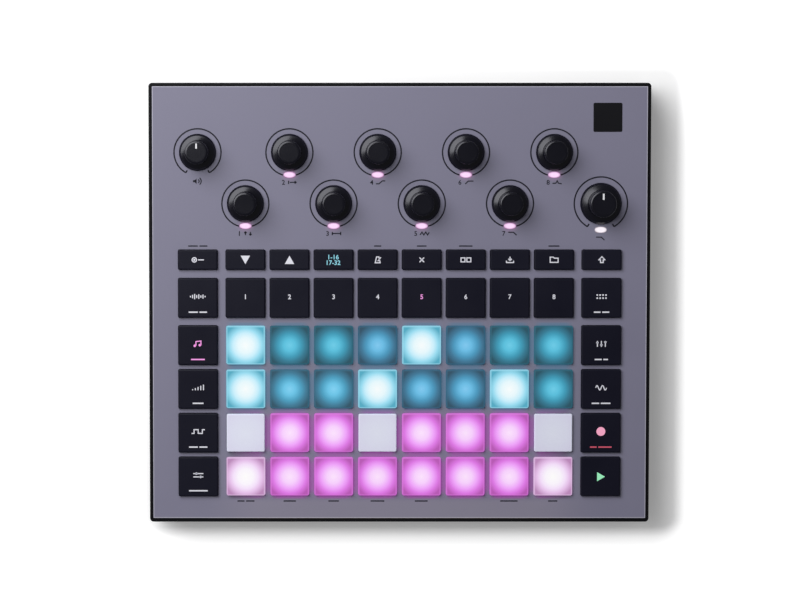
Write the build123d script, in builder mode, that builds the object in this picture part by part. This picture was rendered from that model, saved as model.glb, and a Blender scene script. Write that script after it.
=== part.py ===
# Groovebox: a flat desktop sequencer with a grid of keys and lit pads, ten knobs and rear sockets.
# Millimetres, +Z up, +Y to the rear. The origin is under the middle of the case, at table height.

import os
from math import cos, pi, sin, sqrt

from build123d import *

os.makedirs("parts", exist_ok=True)

# Control grid, seen from above
key_size = 18.9
key_gap = 2.23
function_key_depth = 9.5
row_gap = 3.85
function_row_gap = 4.12
side_column_extra = 1.72
column_count = 8
pad_row_count = 4
post_side_gap = 1.505
front_gap = 2.27
knob_step = 26.91
knob_row_step = 24.5
rear_margin = 33.22
filter_shift = 0.45

# Case and panel
wall = 2.6
floor_thickness = 2.4
rim_width = 1.2
corner_radius = 1.8
bottom_rounding = 1.5
rim_rounding = 0.5
panel_thickness = 2.4
panel_gap = 0.15
panel_edge = 0.3
lip_height = 2.0
lip_width = 1.4
lip_gap = 0.2

# Feet
foot_height = 2.0
foot_seat = 0.8
foot_radius = 6.5
foot_inset = 24.0
foot_gap = 0.1
foot_edge = 0.5

# Keys and pads
key_rise = 1.8
key_corner = 1.0
key_edge = 0.5
key_clearance = 0.3
key_wall = 1.5
key_roof = 1.6
key_travel = 1.2
flange_hold = 0.4
flange_thickness = 1.0
flange_gap = 0.2
plunger_width = 6.0
function_plunger_depth = 3.6
plunger_gap = 0.15
pad_inset = 0.2
pad_rise = 1.6
pad_corner = 1.2
pad_edge = 0.5
pad_travel = 1.0
pad_plunger_width = 10.0

# Key mat
mat_thickness = 1.0
mat_margin = 1.6
mat_clearance = 0.3
collar_gap = 0.4
collar_wall = 1.0
collar_taper = 18.0

# Knobs, their shafts and the rotary bodies
knob_radius = 8.75
knob_top_radius = 5.35
filter_radius = 9.85
filter_top_radius = 6.2
knob_height = 12.4
filter_height = 13.4
knob_gap = 0.6
knob_skirt = 1.5
knob_edge = 0.55
flare_height = 1.4
flare_sag = 0.25
neck_lean = 0.35
knob_round = 0.75
knob_rim = 0.15
knob_recess = 0.12
knob_wall = 1.5
skirt_roof = 0.5
knob_hollow_gap = 1.2
knob_hollow_rise = 1.8
knob_crown = 2.4
shaft_radius = 3.0
shaft_flat = 1.5
shaft_clearance = 0.06
shaft_grip_gap = 0.05
shaft_end_gap = 0.3
rotary_width = 12.0
rotary_depth = 12.4
rotary_headroom = 0.6
rotary_base = 1.2
bushing_wall = 0.5
bushing_rise = 2.2
bushing_gap = 0.3

# Light pipes
light_width = 5.6
light_depth = 2.75
light_step = 2.0
filter_light_step = 2.75
light_gap = 0.1
light_flange = 0.8
light_flange_thickness = 1.0
light_lamp_gap = 0.9

# Boards
board_thickness = 1.6
board_drop = 6.6
board_edge_gap = 0.8
board_rear_overhang = 8.5
socket_board_margin = 5.4
socket_board_standoff = 2.0
chip_height = 1.2
chip_gap = 0.05
processor_size = 14.0
memory_width = 8.0
memory_depth = 11.0

# Fasteners
post_radius = 4.3
post_inset = 0.6
post_notch = 0.5
rib_width = 1.6
boss_radius = 3.6
boss_height = 4.6
case_screw_radius = 1.5
case_head_radius = 2.75
case_head_height = 2.0
case_head_gap = 0.35
case_seat_height = 10.0
board_boss_radius = 2.6
board_boss_inset = 0.3
board_screw_radius = 1.1
board_head_radius = 2.1
board_head_height = 1.5
screw_gap = 0.05
screw_hole_gap = 0.2
screw_tip_gap = 0.6
pilot_end = 1.0
standoff_screw_depth = 1.0

# Rear panel
plate_thickness = 1.2
plate_recess = 0.6
plate_end_margin = 14.0
plate_edge = 1.2
plate_gap = 0.15
window_gap = 0.3
hole_gap = 0.15
lock_width = 7.0
lock_height = 3.0

# Rear sockets
socket_gap = 0.2
headroom = 4.6
din_shell_radius = 6.75
din_shell_wall = 0.65
din_groove = 1.15
din_side = 1.3
din_cap = 0.6
din_pin_circle = 3.75
din_pin_radius = 0.75
din_pin_count = 5
din_reach = 8.0
din_back = 5.4
din_key_width = 2.4
din_key_depth = 1.4
jack_width = 13.6
jack_height = 12.0
jack_bore_radius = 3.25
jack_wall = 1.75
jack_reach = 17.0
jack_back = 2.4
mini_width = 7.0
mini_height = 6.4
mini_bore_radius = 1.8
mini_wall = 1.1
mini_reach = 12.0
mini_back = 2.4
usb_width = 9.0
usb_height = 3.2
usb_shell = 0.3
usb_reach = 6.6
usb_back = 1.8
usb_tongue_width = 6.7
usb_tongue_height = 0.7
usb_tongue_reach = 5.0
card_width = 14.0
card_height = 2.0
card_side = 1.2
card_slot_height = 1.0
card_reach = 13.0
card_back = 1.5

# Power button and its switch
button_radius = 3.2
button_axis_height = 6.0
button_rise = 0.4
button_flange = 1.0
button_flange_thickness = 1.0
button_gap = 0.3
button_travel = 0.8
button_stem_radius = 1.5
button_stem = 4.0
switch_width = 6.0
switch_depth = 5.0

# Battery
battery_width = 90.0
battery_depth = 50.0
battery_height = 10.0
battery_y = -30.0
battery_corner = 3.0
cradle_gap = 0.3
cradle_height = 5.0

# Plan positions worked out from the grid
grid_pitch = key_size + key_gap
pad_size = key_size - 2 * pad_inset
column_x = [(i - (column_count - 1) / 2) * grid_pitch for i in range(column_count)]
side_x = column_x[-1] + grid_pitch + side_column_extra
flange_width = key_clearance + flange_hold
side_margin = flange_width + post_side_gap + 2 * post_radius + post_inset + wall
case_width = 2 * (side_x + key_size / 2 + side_margin)
track_step = key_size + row_gap
function_step = (key_size + function_key_depth) / 2 + function_row_gap
pad_span = (pad_row_count - 1) * grid_pitch
front_boss = wall + lip_gap + lip_width + board_boss_inset + board_boss_radius
front_row = front_boss + board_boss_radius + front_gap + flange_width + key_size / 2
case_depth = front_row + pad_span + track_step + function_step + knob_step + knob_row_step + rear_margin
pad_y = [pad_span + front_row - case_depth / 2 - i * grid_pitch for i in range(pad_row_count)]
track_y = pad_y[0] + track_step
function_y = track_y + function_step
knob_front_y = function_y + knob_step
knob_rear_y = knob_front_y + knob_row_step

# Heights worked out from the stack of parts
din_nose_radius = din_shell_radius + din_shell_wall
din_height = 2 * (din_nose_radius + din_cap)
floor_top = foot_height + floor_thickness
socket_board_under = floor_top + socket_board_standoff
socket_board_top = socket_board_under + board_thickness
panel_under = socket_board_top + din_height + headroom
panel_top = panel_under + panel_thickness
board_top = panel_under - board_drop
board_under = board_top - board_thickness
post_top = panel_under - boss_height
knob_base = panel_top + knob_gap
bushing_top = panel_top + bushing_rise
rotary_top = panel_under - rotary_headroom
shaft_bottom = board_top + rotary_base + shaft_end_gap
bushing_radius = shaft_radius + bushing_wall
screw_tip = panel_under - pilot_end - screw_tip_gap

# Keys: the retaining flange hangs just under the panel, the plunger ends just over the board
flange_top = panel_under - flange_gap
flange_under = flange_top - flange_thickness
key_top = panel_top + key_rise
key_tip = board_top + key_travel + plunger_gap
pad_top = panel_top + pad_rise
pad_tip = board_top + pad_travel + plunger_gap

# Rear wall, from the outside inwards
rear_outer = case_depth / 2
plate_outer = rear_outer - plate_recess
plate_inner = plate_outer - plate_thickness
socket_front = plate_inner - socket_gap
wall_inner = rear_outer - wall
plate_width = case_width - 2 * plate_end_margin
plate_bottom = socket_board_top - plate_edge
plate_height = din_height + 2 * plate_edge
plate_z = plate_bottom + plate_height / 2
window_width = plate_width - 2 * (plate_edge - window_gap)
window_height = din_height + 2 * window_gap
socket_board_front = plate_outer - jack_reach - jack_back - socket_board_margin
socket_board_depth = wall_inner - board_edge_gap - socket_board_front
din_width = 2 * (din_nose_radius + din_side)
din_core_radius = din_shell_radius - din_groove
jack_nose_radius = jack_bore_radius + jack_wall
mini_nose_radius = mini_bore_radius + mini_wall
card_slot_width = card_width - 2 * card_side
button_z = socket_board_top + button_axis_height
jack_z = socket_board_top + jack_height / 2
mini_z = socket_board_top + mini_height / 2
din_z = socket_board_top + din_height / 2
usb_z = socket_board_top + usb_height / 2
card_z = socket_board_top + card_height / 2

# Rear sockets from the +X end, each with its width, spread evenly along the rear panel
button_width = 2 * (button_radius + button_flange)
rear_row = [
    ("power", button_width),
    ("lock", lock_width),
    ("usb", usb_width),
    ("card", card_width),
    ("midi_1", din_width),
    ("midi_2", din_width),
    ("midi_3", din_width),
    ("sync", mini_width),
    ("input_1", jack_width),
    ("input_2", jack_width),
    ("phones", mini_width),
    ("output_1", jack_width),
    ("output_2", jack_width),
]
rear_gap = (plate_width - sum(width for _, width in rear_row)) / (len(rear_row) + 1)
rear_x = {}
row_edge = plate_width / 2
for socket, width in rear_row:
    rear_x[socket] = row_edge - rear_gap - width / 2
    row_edge -= rear_gap + width
midi_x = [rear_x["midi_1"], rear_x["midi_2"], rear_x["midi_3"]]
jack_x = [rear_x["input_1"], rear_x["input_2"], rear_x["output_1"], rear_x["output_2"]]
mini_x = [rear_x["sync"], rear_x["phones"]]

# Screw posts stand just inside the walls: four corners and the middle of each side
post_x = case_width / 2 - wall - post_radius - post_inset
post_y = case_depth / 2 - wall - post_radius - post_inset
case_screw_points = [(sx * post_x, sy * post_y) for sx in (-1, 1) for sy in (-1, 0, 1)]
board_screw_points = [
    *[(sx * post_x, y) for sx in (-1, 1) for y in ((pad_y[1] + pad_y[2]) / 2, knob_front_y)],
    *[(x, front_boss - case_depth / 2) for x in (column_x[1], 0, column_x[-2])],
    *[(x, knob_rear_y) for x in column_x[0::2]],
]
standoff_y = socket_board_front + board_boss_radius
standoff_points = [(rear_x[socket], standoff_y) for socket in ("usb", "midi_3", "phones")]

# Knobs: encoders alternate between the two rows, numbered from the left
encoder_points = [(x, (knob_front_y, knob_rear_y)[i % 2]) for i, x in enumerate(column_x)]
volume_point = (-side_x, knob_rear_y)
filter_point = (side_x - filter_shift, knob_front_y)
knob_points = [volume_point, *encoder_points, filter_point]
light_points = [(x, y - knob_radius - light_step) for x, y in encoder_points]
light_points.append((filter_point[0], filter_point[1] - filter_radius - filter_light_step))

# Keys by name: place and depth
function_names = ["down", "up", "page", "tempo", "clear", "duplicate", "save", "project"]
left_names = ["note", "velocity", "gate", "settings"]
right_names = ["mixer", "effects", "record", "play"]
keys = {"rec_sample_key": (-side_x, function_y, function_key_depth)}
for name, x in zip(function_names, column_x):
    keys[f"{name}_key"] = (x, function_y, function_key_depth)
keys["shift_key"] = (side_x, function_y, function_key_depth)
keys["sample_key"] = (-side_x, track_y, key_size)
for i, x in enumerate(column_x):
    keys[f"track_{i + 1}_key"] = (x, track_y, key_size)
keys["pattern_key"] = (side_x, track_y, key_size)
for left, right, y in zip(left_names, right_names, pad_y):
    keys[f"{left}_key"] = (-side_x, y, key_size)
    keys[f"{right}_key"] = (side_x, y, key_size)
square_key_points = [(x, y) for x, y, depth in keys.values() if depth == key_size]
function_key_points = [(x, y) for x, y, depth in keys.values() if depth != key_size]
pad_points = [(x, y) for x in column_x for y in pad_y]


# A plane facing the rear at (x, z), with its X axis to the right for someone behind the case
def rear_plane(x, y, z):
    return Plane(origin=(x, y, z), x_dir=(-1, 0, 0), z_dir=(0, 1, 0))


# Round section with one flat, as on a D-shaft
def d_section(radius, flat):
    Circle(radius)
    with Locations((0, 2 * radius - flat)):
        Rectangle(2 * radius, 2 * radius, mode=Mode.SUBTRACT)


def save(piece, name):
    piece.label = name
    export_step(piece, f"parts/{name}.step")


# Top cover: panel with all its openings, a locating lip and the screw bosses
with BuildPart() as top_cover:
    panel_inset = 2 * (rim_width + panel_gap)
    with BuildSketch(Plane.XY.offset(panel_under)):
        RectangleRounded(
            case_width - panel_inset, case_depth - panel_inset, corner_radius - panel_inset / 2
        )
    extrude(amount=panel_thickness)
    chamfer(top_cover.faces().sort_by(Axis.Z)[-1].edges(), panel_edge)
    lip_inset = 2 * (wall + lip_gap)
    with BuildSketch(Plane.XY.offset(panel_under)):
        Rectangle(case_width - lip_inset, case_depth - lip_inset)
        Rectangle(
            case_width - lip_inset - 2 * lip_width,
            case_depth - lip_inset - 2 * lip_width,
            mode=Mode.SUBTRACT,
        )
    extrude(amount=-lip_height)
    with BuildSketch(Plane.XY.offset(panel_under)):
        with Locations(*case_screw_points):
            Circle(boss_radius)
    extrude(amount=-boss_height)
    with BuildSketch(Plane.XY.offset(panel_under)):
        with Locations(*board_screw_points):
            Circle(board_boss_radius)
    extrude(amount=-board_drop)
    with BuildSketch(Plane.XY.offset(panel_under - pilot_end)):
        with Locations(*case_screw_points):
            Circle(case_screw_radius + screw_gap)
        with Locations(*board_screw_points):
            Circle(board_screw_radius + screw_gap)
    extrude(amount=-board_drop, mode=Mode.SUBTRACT)
    with BuildSketch(Plane.XY.offset(panel_under)):
        key_opening = key_size + 2 * key_clearance
        pad_opening = pad_size + 2 * key_clearance
        with Locations(*square_key_points):
            RectangleRounded(key_opening, key_opening, key_corner + key_clearance)
        with Locations(*function_key_points):
            RectangleRounded(
                key_opening, function_key_depth + 2 * key_clearance, key_corner + key_clearance
            )
        with Locations(*pad_points):
            RectangleRounded(pad_opening, pad_opening, pad_corner + key_clearance)
        with Locations(*knob_points):
            Circle(bushing_radius + bushing_gap)
        with Locations(*light_points):
            SlotOverall(light_width + 2 * light_gap, light_depth + 2 * light_gap)
    extrude(amount=panel_thickness, mode=Mode.SUBTRACT)
save(top_cover.part, "top_cover")

# Bottom case: tray with a seat for the panel, screw posts, stand-offs, battery cradle and rear window
with BuildPart() as bottom_case:
    with BuildSketch(Plane.XY.offset(foot_height)):
        RectangleRounded(case_width, case_depth, corner_radius)
    extrude(amount=panel_top - foot_height)
    fillet(bottom_case.faces().sort_by(Axis.Z)[0].edges(), bottom_rounding)
    fillet(bottom_case.faces().sort_by(Axis.Z)[-1].edges(), rim_rounding)
    with BuildSketch(Plane.XY.offset(panel_under)):
        RectangleRounded(
            case_width - 2 * rim_width, case_depth - 2 * rim_width, corner_radius - rim_width
        )
    extrude(amount=panel_thickness, mode=Mode.SUBTRACT)
    with BuildSketch(Plane.XY.offset(floor_top)):
        Rectangle(case_width - 2 * wall, case_depth - 2 * wall)
    extrude(amount=panel_under - floor_top, mode=Mode.SUBTRACT)
    with BuildSketch(Plane.XY.offset(floor_top)):
        with Locations(*case_screw_points):
            Circle(post_radius)
    extrude(amount=post_top - floor_top)
    with BuildSketch(Plane.XY.offset(floor_top)):
        rib_reach = post_radius + post_inset
        with Locations(*[(x + (rib_reach if x > 0 else -rib_reach) / 2, y) for x, y in case_screw_points]):
            Rectangle(rib_reach, rib_width)
    extrude(amount=board_under - board_edge_gap - floor_top)
    with BuildSketch(Plane.XY.offset(floor_top)):
        with Locations(*standoff_points):
            Circle(board_boss_radius)
    extrude(amount=socket_board_standoff)
    with BuildSketch(Plane.XY.offset(floor_top)):
        cradle_y = battery_depth / 2 + cradle_gap + rib_width / 2
        with Locations((0, battery_y - cradle_y), (0, battery_y + cradle_y)):
            Rectangle(battery_width, rib_width)
    extrude(amount=cradle_height)
    with BuildSketch(Plane.XY.offset(foot_height)):
        with Locations(*case_screw_points):
            Circle(case_head_radius + case_head_gap)
    extrude(amount=case_seat_height, mode=Mode.SUBTRACT)
    with BuildSketch(Plane.XY.offset(foot_height)):
        with Locations(*case_screw_points):
            Circle(case_screw_radius + screw_hole_gap)
    extrude(amount=post_top - foot_height, mode=Mode.SUBTRACT)
    with BuildSketch(Plane.XY.offset(socket_board_under)):
        with Locations(*standoff_points):
            Circle(board_screw_radius + screw_gap)
    extrude(amount=-(socket_board_standoff + standoff_screw_depth), mode=Mode.SUBTRACT)
    foot_x = case_width / 2 - foot_inset
    foot_y = case_depth / 2 - foot_inset
    with BuildSketch(Plane.XY.offset(foot_height)):
        with GridLocations(2 * foot_x, 2 * foot_y, 2, 2):
            Circle(foot_radius + foot_gap)
    extrude(amount=foot_seat, mode=Mode.SUBTRACT)
    with BuildSketch(rear_plane(0, rear_outer, plate_z)):
        Rectangle(plate_width + 2 * plate_gap, plate_height + 2 * plate_gap)
    extrude(amount=-(plate_recess + plate_thickness), mode=Mode.SUBTRACT)
    with BuildSketch(rear_plane(0, rear_outer, plate_z)):
        Rectangle(window_width, window_height)
    extrude(amount=-wall, mode=Mode.SUBTRACT)
save(bottom_case.part, "bottom_case")

# Rear panel: plate let into the rear wall, pierced for the sockets, the button and a lock slot
with BuildPart() as rear_panel:
    with BuildSketch(rear_plane(0, plate_outer, 0)):
        with Locations((0, plate_z)):
            Rectangle(plate_width, plate_height)
        with Locations(*[(-x, din_z) for x in midi_x]):
            Circle(din_nose_radius + hole_gap, mode=Mode.SUBTRACT)
        with Locations(*[(-x, jack_z) for x in jack_x]):
            Circle(jack_nose_radius + hole_gap, mode=Mode.SUBTRACT)
        with Locations(*[(-x, mini_z) for x in mini_x]):
            Circle(mini_nose_radius + hole_gap, mode=Mode.SUBTRACT)
        with Locations((-rear_x["power"], button_z)):
            Circle(button_radius + button_gap, mode=Mode.SUBTRACT)
        with Locations((-rear_x["lock"], button_z)):
            SlotOverall(lock_width, lock_height, mode=Mode.SUBTRACT)
        with Locations((-rear_x["usb"], usb_z)):
            SlotOverall(usb_width + 2 * hole_gap, usb_height + 2 * hole_gap, mode=Mode.SUBTRACT)
        with Locations((-rear_x["card"], card_z)):
            Rectangle(card_slot_width, card_slot_height, mode=Mode.SUBTRACT)
    extrude(amount=-plate_thickness)
save(rear_panel.part, "rear_panel")

# Circuit boards: the control board under the panel, with its chips, and the socket board at the rear
with BuildPart() as circuit_boards:
    board_width = case_width - 2 * (wall + board_edge_gap)
    board_front = -(case_depth / 2 - wall - board_edge_gap)
    board_rear = knob_rear_y + board_rear_overhang
    with BuildSketch(Plane.XY.offset(board_under)):
        with Locations((0, (board_front + board_rear) / 2)):
            Rectangle(board_width, board_rear - board_front)
        notch = 2 * (post_radius + post_notch)
        with Locations(*case_screw_points):
            Rectangle(notch, notch, mode=Mode.SUBTRACT)
        with Locations(*board_screw_points):
            Circle(board_screw_radius + screw_hole_gap, mode=Mode.SUBTRACT)
    extrude(amount=board_thickness)
    with BuildSketch(Plane.XY.offset(board_under - chip_gap)):
        with Locations((column_x[1], knob_front_y)):
            Rectangle(processor_size, processor_size)
        with Locations((column_x[3], knob_front_y), (column_x[4], knob_front_y)):
            Rectangle(memory_width, memory_depth)
    extrude(amount=-chip_height)
    with BuildSketch(Plane.XY.offset(socket_board_under)):
        with Locations((0, socket_board_front + socket_board_depth / 2)):
            Rectangle(plate_width, socket_board_depth)
        with Locations(*standoff_points):
            Circle(board_screw_radius + screw_hole_gap, mode=Mode.SUBTRACT)
    extrude(amount=board_thickness)
save(circuit_boards.part, "circuit_boards")

# Key mat: one silicone sheet with a tapered collar round every plunger
with BuildPart() as key_mat:
    mat_reach = pad_plunger_width / 2 + collar_gap + collar_wall + mat_margin
    mat_front = pad_y[-1] - mat_reach
    mat_rear = function_y + mat_reach
    collar_top = flange_under - key_travel - mat_clearance
    with BuildSketch(Plane.XY.offset(board_top)):
        with Locations((0, (mat_front + mat_rear) / 2)):
            Rectangle(2 * (side_x + mat_reach), mat_rear - mat_front)
    extrude(amount=mat_thickness)
    with BuildSketch(Plane.XY.offset(collar_top)):
        collar = 2 * (collar_gap + collar_wall)
        with Locations(*square_key_points):
            Rectangle(plunger_width + collar, plunger_width + collar)
        with Locations(*function_key_points):
            Rectangle(plunger_width + collar, function_plunger_depth + collar)
        with Locations(*pad_points):
            Rectangle(pad_plunger_width + collar, pad_plunger_width + collar)
    extrude(amount=board_top + mat_thickness - collar_top, taper=-collar_taper)
    with BuildSketch(Plane.XY.offset(board_top)):
        with Locations(*square_key_points):
            Rectangle(plunger_width + 2 * collar_gap, plunger_width + 2 * collar_gap)
        with Locations(*function_key_points):
            Rectangle(plunger_width + 2 * collar_gap, function_plunger_depth + 2 * collar_gap)
        with Locations(*pad_points):
            Rectangle(pad_plunger_width + 2 * collar_gap, pad_plunger_width + 2 * collar_gap)
    extrude(amount=collar_top - board_top, mode=Mode.SUBTRACT)
save(key_mat.part, "key_mat")

# Light pipes: one flanged lens in front of each encoder and of the filter knob, flush with the panel
with BuildPart() as light_pipes:
    with BuildSketch(Plane.XY.offset(panel_top)):
        with Locations(*light_points):
            SlotOverall(light_width, light_depth)
    extrude(amount=board_top + light_lamp_gap - panel_top)
    with BuildSketch(Plane.XY.offset(panel_under)):
        with Locations(*light_points):
            SlotOverall(light_width + 2 * light_flange, light_depth + 2 * light_flange)
    extrude(amount=-light_flange_thickness)
save(light_pipes.part, "light_pipes")

# Rotary bodies: block and bushing of each encoder and potentiometer, bored for its shaft
with BuildPart() as rotary_bodies:
    with BuildSketch(Plane.XY.offset(board_top)):
        with Locations(*knob_points):
            Rectangle(rotary_width, rotary_depth)
    extrude(amount=rotary_top - board_top)
    with BuildSketch(Plane.XY.offset(board_top)):
        with Locations(*knob_points):
            Circle(bushing_radius)
    extrude(amount=bushing_top - board_top)
    with BuildSketch(Plane.XY.offset(board_top + rotary_base)):
        with Locations(*knob_points):
            Circle(shaft_radius + shaft_clearance)
    extrude(amount=bushing_top - board_top - rotary_base, mode=Mode.SUBTRACT)
save(rotary_bodies.part, "rotary_bodies")

# Jack sockets: block, round nose and blind bore, four large and two small
with BuildPart() as jack_sockets:
    with BuildSketch(rear_plane(0, socket_front, 0)):
        with Locations(*[(-x, jack_z) for x in jack_x]):
            Rectangle(jack_width, jack_height)
    extrude(amount=plate_outer - jack_reach - jack_back - socket_front)
    with BuildSketch(rear_plane(0, socket_front, 0)):
        with Locations(*[(-x, mini_z) for x in mini_x]):
            Rectangle(mini_width, mini_height)
    extrude(amount=plate_outer - mini_reach - mini_back - socket_front)
    with BuildSketch(rear_plane(0, plate_outer, 0)):
        with Locations(*[(-x, jack_z) for x in jack_x]):
            Circle(jack_nose_radius)
        with Locations(*[(-x, mini_z) for x in mini_x]):
            Circle(mini_nose_radius)
    extrude(amount=socket_front - plate_outer)
    with BuildSketch(rear_plane(0, plate_outer, 0)):
        with Locations(*[(-x, jack_z) for x in jack_x]):
            Circle(jack_bore_radius)
    extrude(amount=-jack_reach, mode=Mode.SUBTRACT)
    with BuildSketch(rear_plane(0, plate_outer, 0)):
        with Locations(*[(-x, mini_z) for x in mini_x]):
            Circle(mini_bore_radius)
    extrude(amount=-mini_reach, mode=Mode.SUBTRACT)
save(jack_sockets.part, "jack_sockets")

# Round five-pin sockets: shell, ring groove, keyed core and pin holes on a half circle
pin_angles = [pi * i / (din_pin_count - 1) for i in range(din_pin_count)]
pin_points = [(din_pin_circle * cos(a), din_pin_circle * sin(a)) for a in pin_angles]
with BuildPart() as midi_sockets:
    with BuildSketch(rear_plane(0, socket_front, 0)):
        with Locations(*[(-x, din_z) for x in midi_x]):
            Rectangle(din_width, din_height)
    extrude(amount=plate_outer - din_reach - din_back - socket_front)
    with BuildSketch(rear_plane(0, plate_outer, 0)):
        with Locations(*[(-x, din_z) for x in midi_x]):
            Circle(din_nose_radius)
    extrude(amount=socket_front - plate_outer)
    with BuildSketch(rear_plane(0, plate_outer, 0)):
        with Locations(*[(-x, din_z) for x in midi_x]):
            Circle(din_shell_radius)
            Circle(din_core_radius, mode=Mode.SUBTRACT)
        with Locations(*[(-x, din_z - din_core_radius) for x in midi_x]):
            Rectangle(din_key_width, 2 * din_key_depth)
        with Locations(*[(px - x, din_z + pz) for x in midi_x for px, pz in pin_points]):
            Circle(din_pin_radius)
    extrude(amount=-din_reach, mode=Mode.SUBTRACT)
save(midi_sockets.part, "midi_sockets")

# Small ports: USB-C shell with its tongue, memory card slot and the switch behind the power button
with BuildPart() as port_sockets:
    with BuildSketch(rear_plane(rear_x["usb"], plate_outer, usb_z)):
        SlotOverall(usb_width, usb_height)
    extrude(amount=-(usb_reach + usb_back))
    with BuildSketch(rear_plane(rear_x["usb"], plate_outer, usb_z)):
        SlotOverall(usb_width - 2 * usb_shell, usb_height - 2 * usb_shell)
    extrude(amount=-usb_reach, mode=Mode.SUBTRACT)
    with BuildSketch(rear_plane(rear_x["usb"], plate_outer - usb_reach, usb_z)):
        Rectangle(usb_tongue_width, usb_tongue_height)
    extrude(amount=usb_tongue_reach)
    with BuildSketch(rear_plane(rear_x["card"], socket_front, card_z)):
        Rectangle(card_width, card_height)
    extrude(amount=-(card_reach + card_back))
    with BuildSketch(rear_plane(rear_x["card"], socket_front, card_z)):
        Rectangle(card_slot_width, card_slot_height)
    extrude(amount=-card_reach, mode=Mode.SUBTRACT)
    flange_front = plate_inner - flange_gap
    stem_end = flange_front - button_flange_thickness - button_stem
    switch_front = stem_end - button_travel - flange_gap
    switch_height = button_axis_height + switch_width / 2
    with BuildSketch(rear_plane(rear_x["power"], switch_front, socket_board_top + switch_height / 2)):
        Rectangle(switch_width, switch_height)
    extrude(amount=-switch_depth)
save(port_sockets.part, "port_sockets")

# Battery pack: flat rounded block between the cradle ribs
with BuildPart() as battery_pack:
    with BuildSketch(Plane((0, battery_y, floor_top))):
        RectangleRounded(battery_width, battery_depth, battery_corner)
    extrude(amount=battery_height)
save(battery_pack.part, "battery_pack")

# Rubber feet, seated in the floor
with BuildPart() as rubber_feet:
    with BuildSketch(Plane.XY):
        with GridLocations(2 * foot_x, 2 * foot_y, 2, 2):
            Circle(foot_radius)
    extrude(amount=foot_height + foot_seat)
    chamfer(rubber_feet.edges().group_by(Axis.Z)[0], foot_edge)
save(rubber_feet.part, "rubber_feet")

# Screws: six from below through the posts, the rest through the two boards
with BuildPart() as screws:
    case_seat = foot_height + case_seat_height
    with BuildSketch(Plane.XY.offset(case_seat)):
        with Locations(*case_screw_points):
            Circle(case_head_radius)
    extrude(amount=-case_head_height)
    with BuildSketch(Plane.XY.offset(case_seat)):
        with Locations(*case_screw_points):
            Circle(case_screw_radius)
    extrude(amount=screw_tip - case_seat)
    with BuildSketch(Plane.XY.offset(board_under)):
        with Locations(*board_screw_points):
            Circle(board_head_radius)
    extrude(amount=-board_head_height)
    with BuildSketch(Plane.XY.offset(board_under)):
        with Locations(*board_screw_points):
            Circle(board_screw_radius)
    extrude(amount=screw_tip - board_under)
    with BuildSketch(Plane.XY.offset(socket_board_top)):
        with Locations(*standoff_points):
            Circle(board_head_radius)
    extrude(amount=board_head_height)
    with BuildSketch(Plane.XY.offset(socket_board_top)):
        with Locations(*standoff_points):
            Circle(board_screw_radius)
    extrude(amount=-(board_thickness + socket_board_standoff))
save(screws.part, "screws")


# Knob: flared cap with a flat recessed top and a hollow skirt, on a D-shaft that reaches into its rotary body
def build_knob(point, radius, top_radius, height):
    x, y = point
    neck_radius = top_radius + neck_lean
    flare_start = radius - knob_edge
    flare_run = flare_start - neck_radius
    flare_chord = sqrt(flare_run**2 + flare_height**2)
    flare_top = knob_skirt + flare_height
    flare_mid = (
        (flare_start + neck_radius) / 2 - flare_sag * flare_height / flare_chord,
        knob_skirt + flare_height / 2 - flare_sag * flare_run / flare_chord,
    )
    edge_low = knob_skirt - knob_edge
    edge_mid = (flare_start + knob_edge * cos(pi / 4), edge_low + knob_edge * sin(pi / 4))
    crest_radius = top_radius - knob_round
    crest_low = height - knob_round
    crest_mid = (crest_radius + knob_round * cos(pi / 4), crest_low + knob_round * sin(pi / 4))
    recess_radius = crest_radius - knob_rim
    recess_floor = height - knob_recess
    hollow_top = bushing_top + knob_hollow_rise
    bore_top = knob_base + height - knob_crown
    with BuildPart() as knob:
        with BuildSketch(Plane(origin=(x, y, knob_base), x_dir=(1, 0, 0), z_dir=(0, -1, 0))):
            with BuildLine():
                Polyline((0, recess_floor), (0, 0), (radius, 0), (radius, edge_low))
                ThreePointArc((radius, edge_low), edge_mid, (flare_start, knob_skirt))
                ThreePointArc((flare_start, knob_skirt), flare_mid, (neck_radius, flare_top))
                Line((neck_radius, flare_top), (top_radius, crest_low))
                ThreePointArc((top_radius, crest_low), crest_mid, (crest_radius, height))
                Polyline(
                    (crest_radius, height),
                    (recess_radius, height),
                    (recess_radius, recess_floor),
                    (0, recess_floor),
                )
            make_face()
        revolve(axis=Axis((x, y, 0), (0, 0, 1)))
        with BuildSketch(Plane((x, y, knob_base))):
            Circle(radius - knob_wall)
        extrude(amount=knob_skirt - skirt_roof, mode=Mode.SUBTRACT)
        with BuildSketch(Plane((x, y, knob_base))):
            Circle(bushing_radius + knob_hollow_gap)
        extrude(amount=hollow_top - knob_base, mode=Mode.SUBTRACT)
        with BuildSketch(Plane((x, y, hollow_top))):
            d_section(shaft_radius + shaft_grip_gap, shaft_flat)
        extrude(amount=bore_top - hollow_top, mode=Mode.SUBTRACT)
        with BuildSketch(Plane((x, y, shaft_bottom))):
            Circle(shaft_radius)
        extrude(amount=bushing_top - shaft_bottom)
        with BuildSketch(Plane((x, y, bushing_top))):
            d_section(shaft_radius, shaft_flat + shaft_grip_gap)
        extrude(amount=bore_top - shaft_end_gap - bushing_top)
    return knob.part


save(build_knob(volume_point, knob_radius, knob_top_radius, knob_height), "volume_knob")
save(build_knob(filter_point, filter_radius, filter_top_radius, filter_height), "filter_knob")
for i, point in enumerate(encoder_points):
    save(build_knob(point, knob_radius, knob_top_radius, knob_height), f"encoder_knob_{i + 1}")


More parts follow.
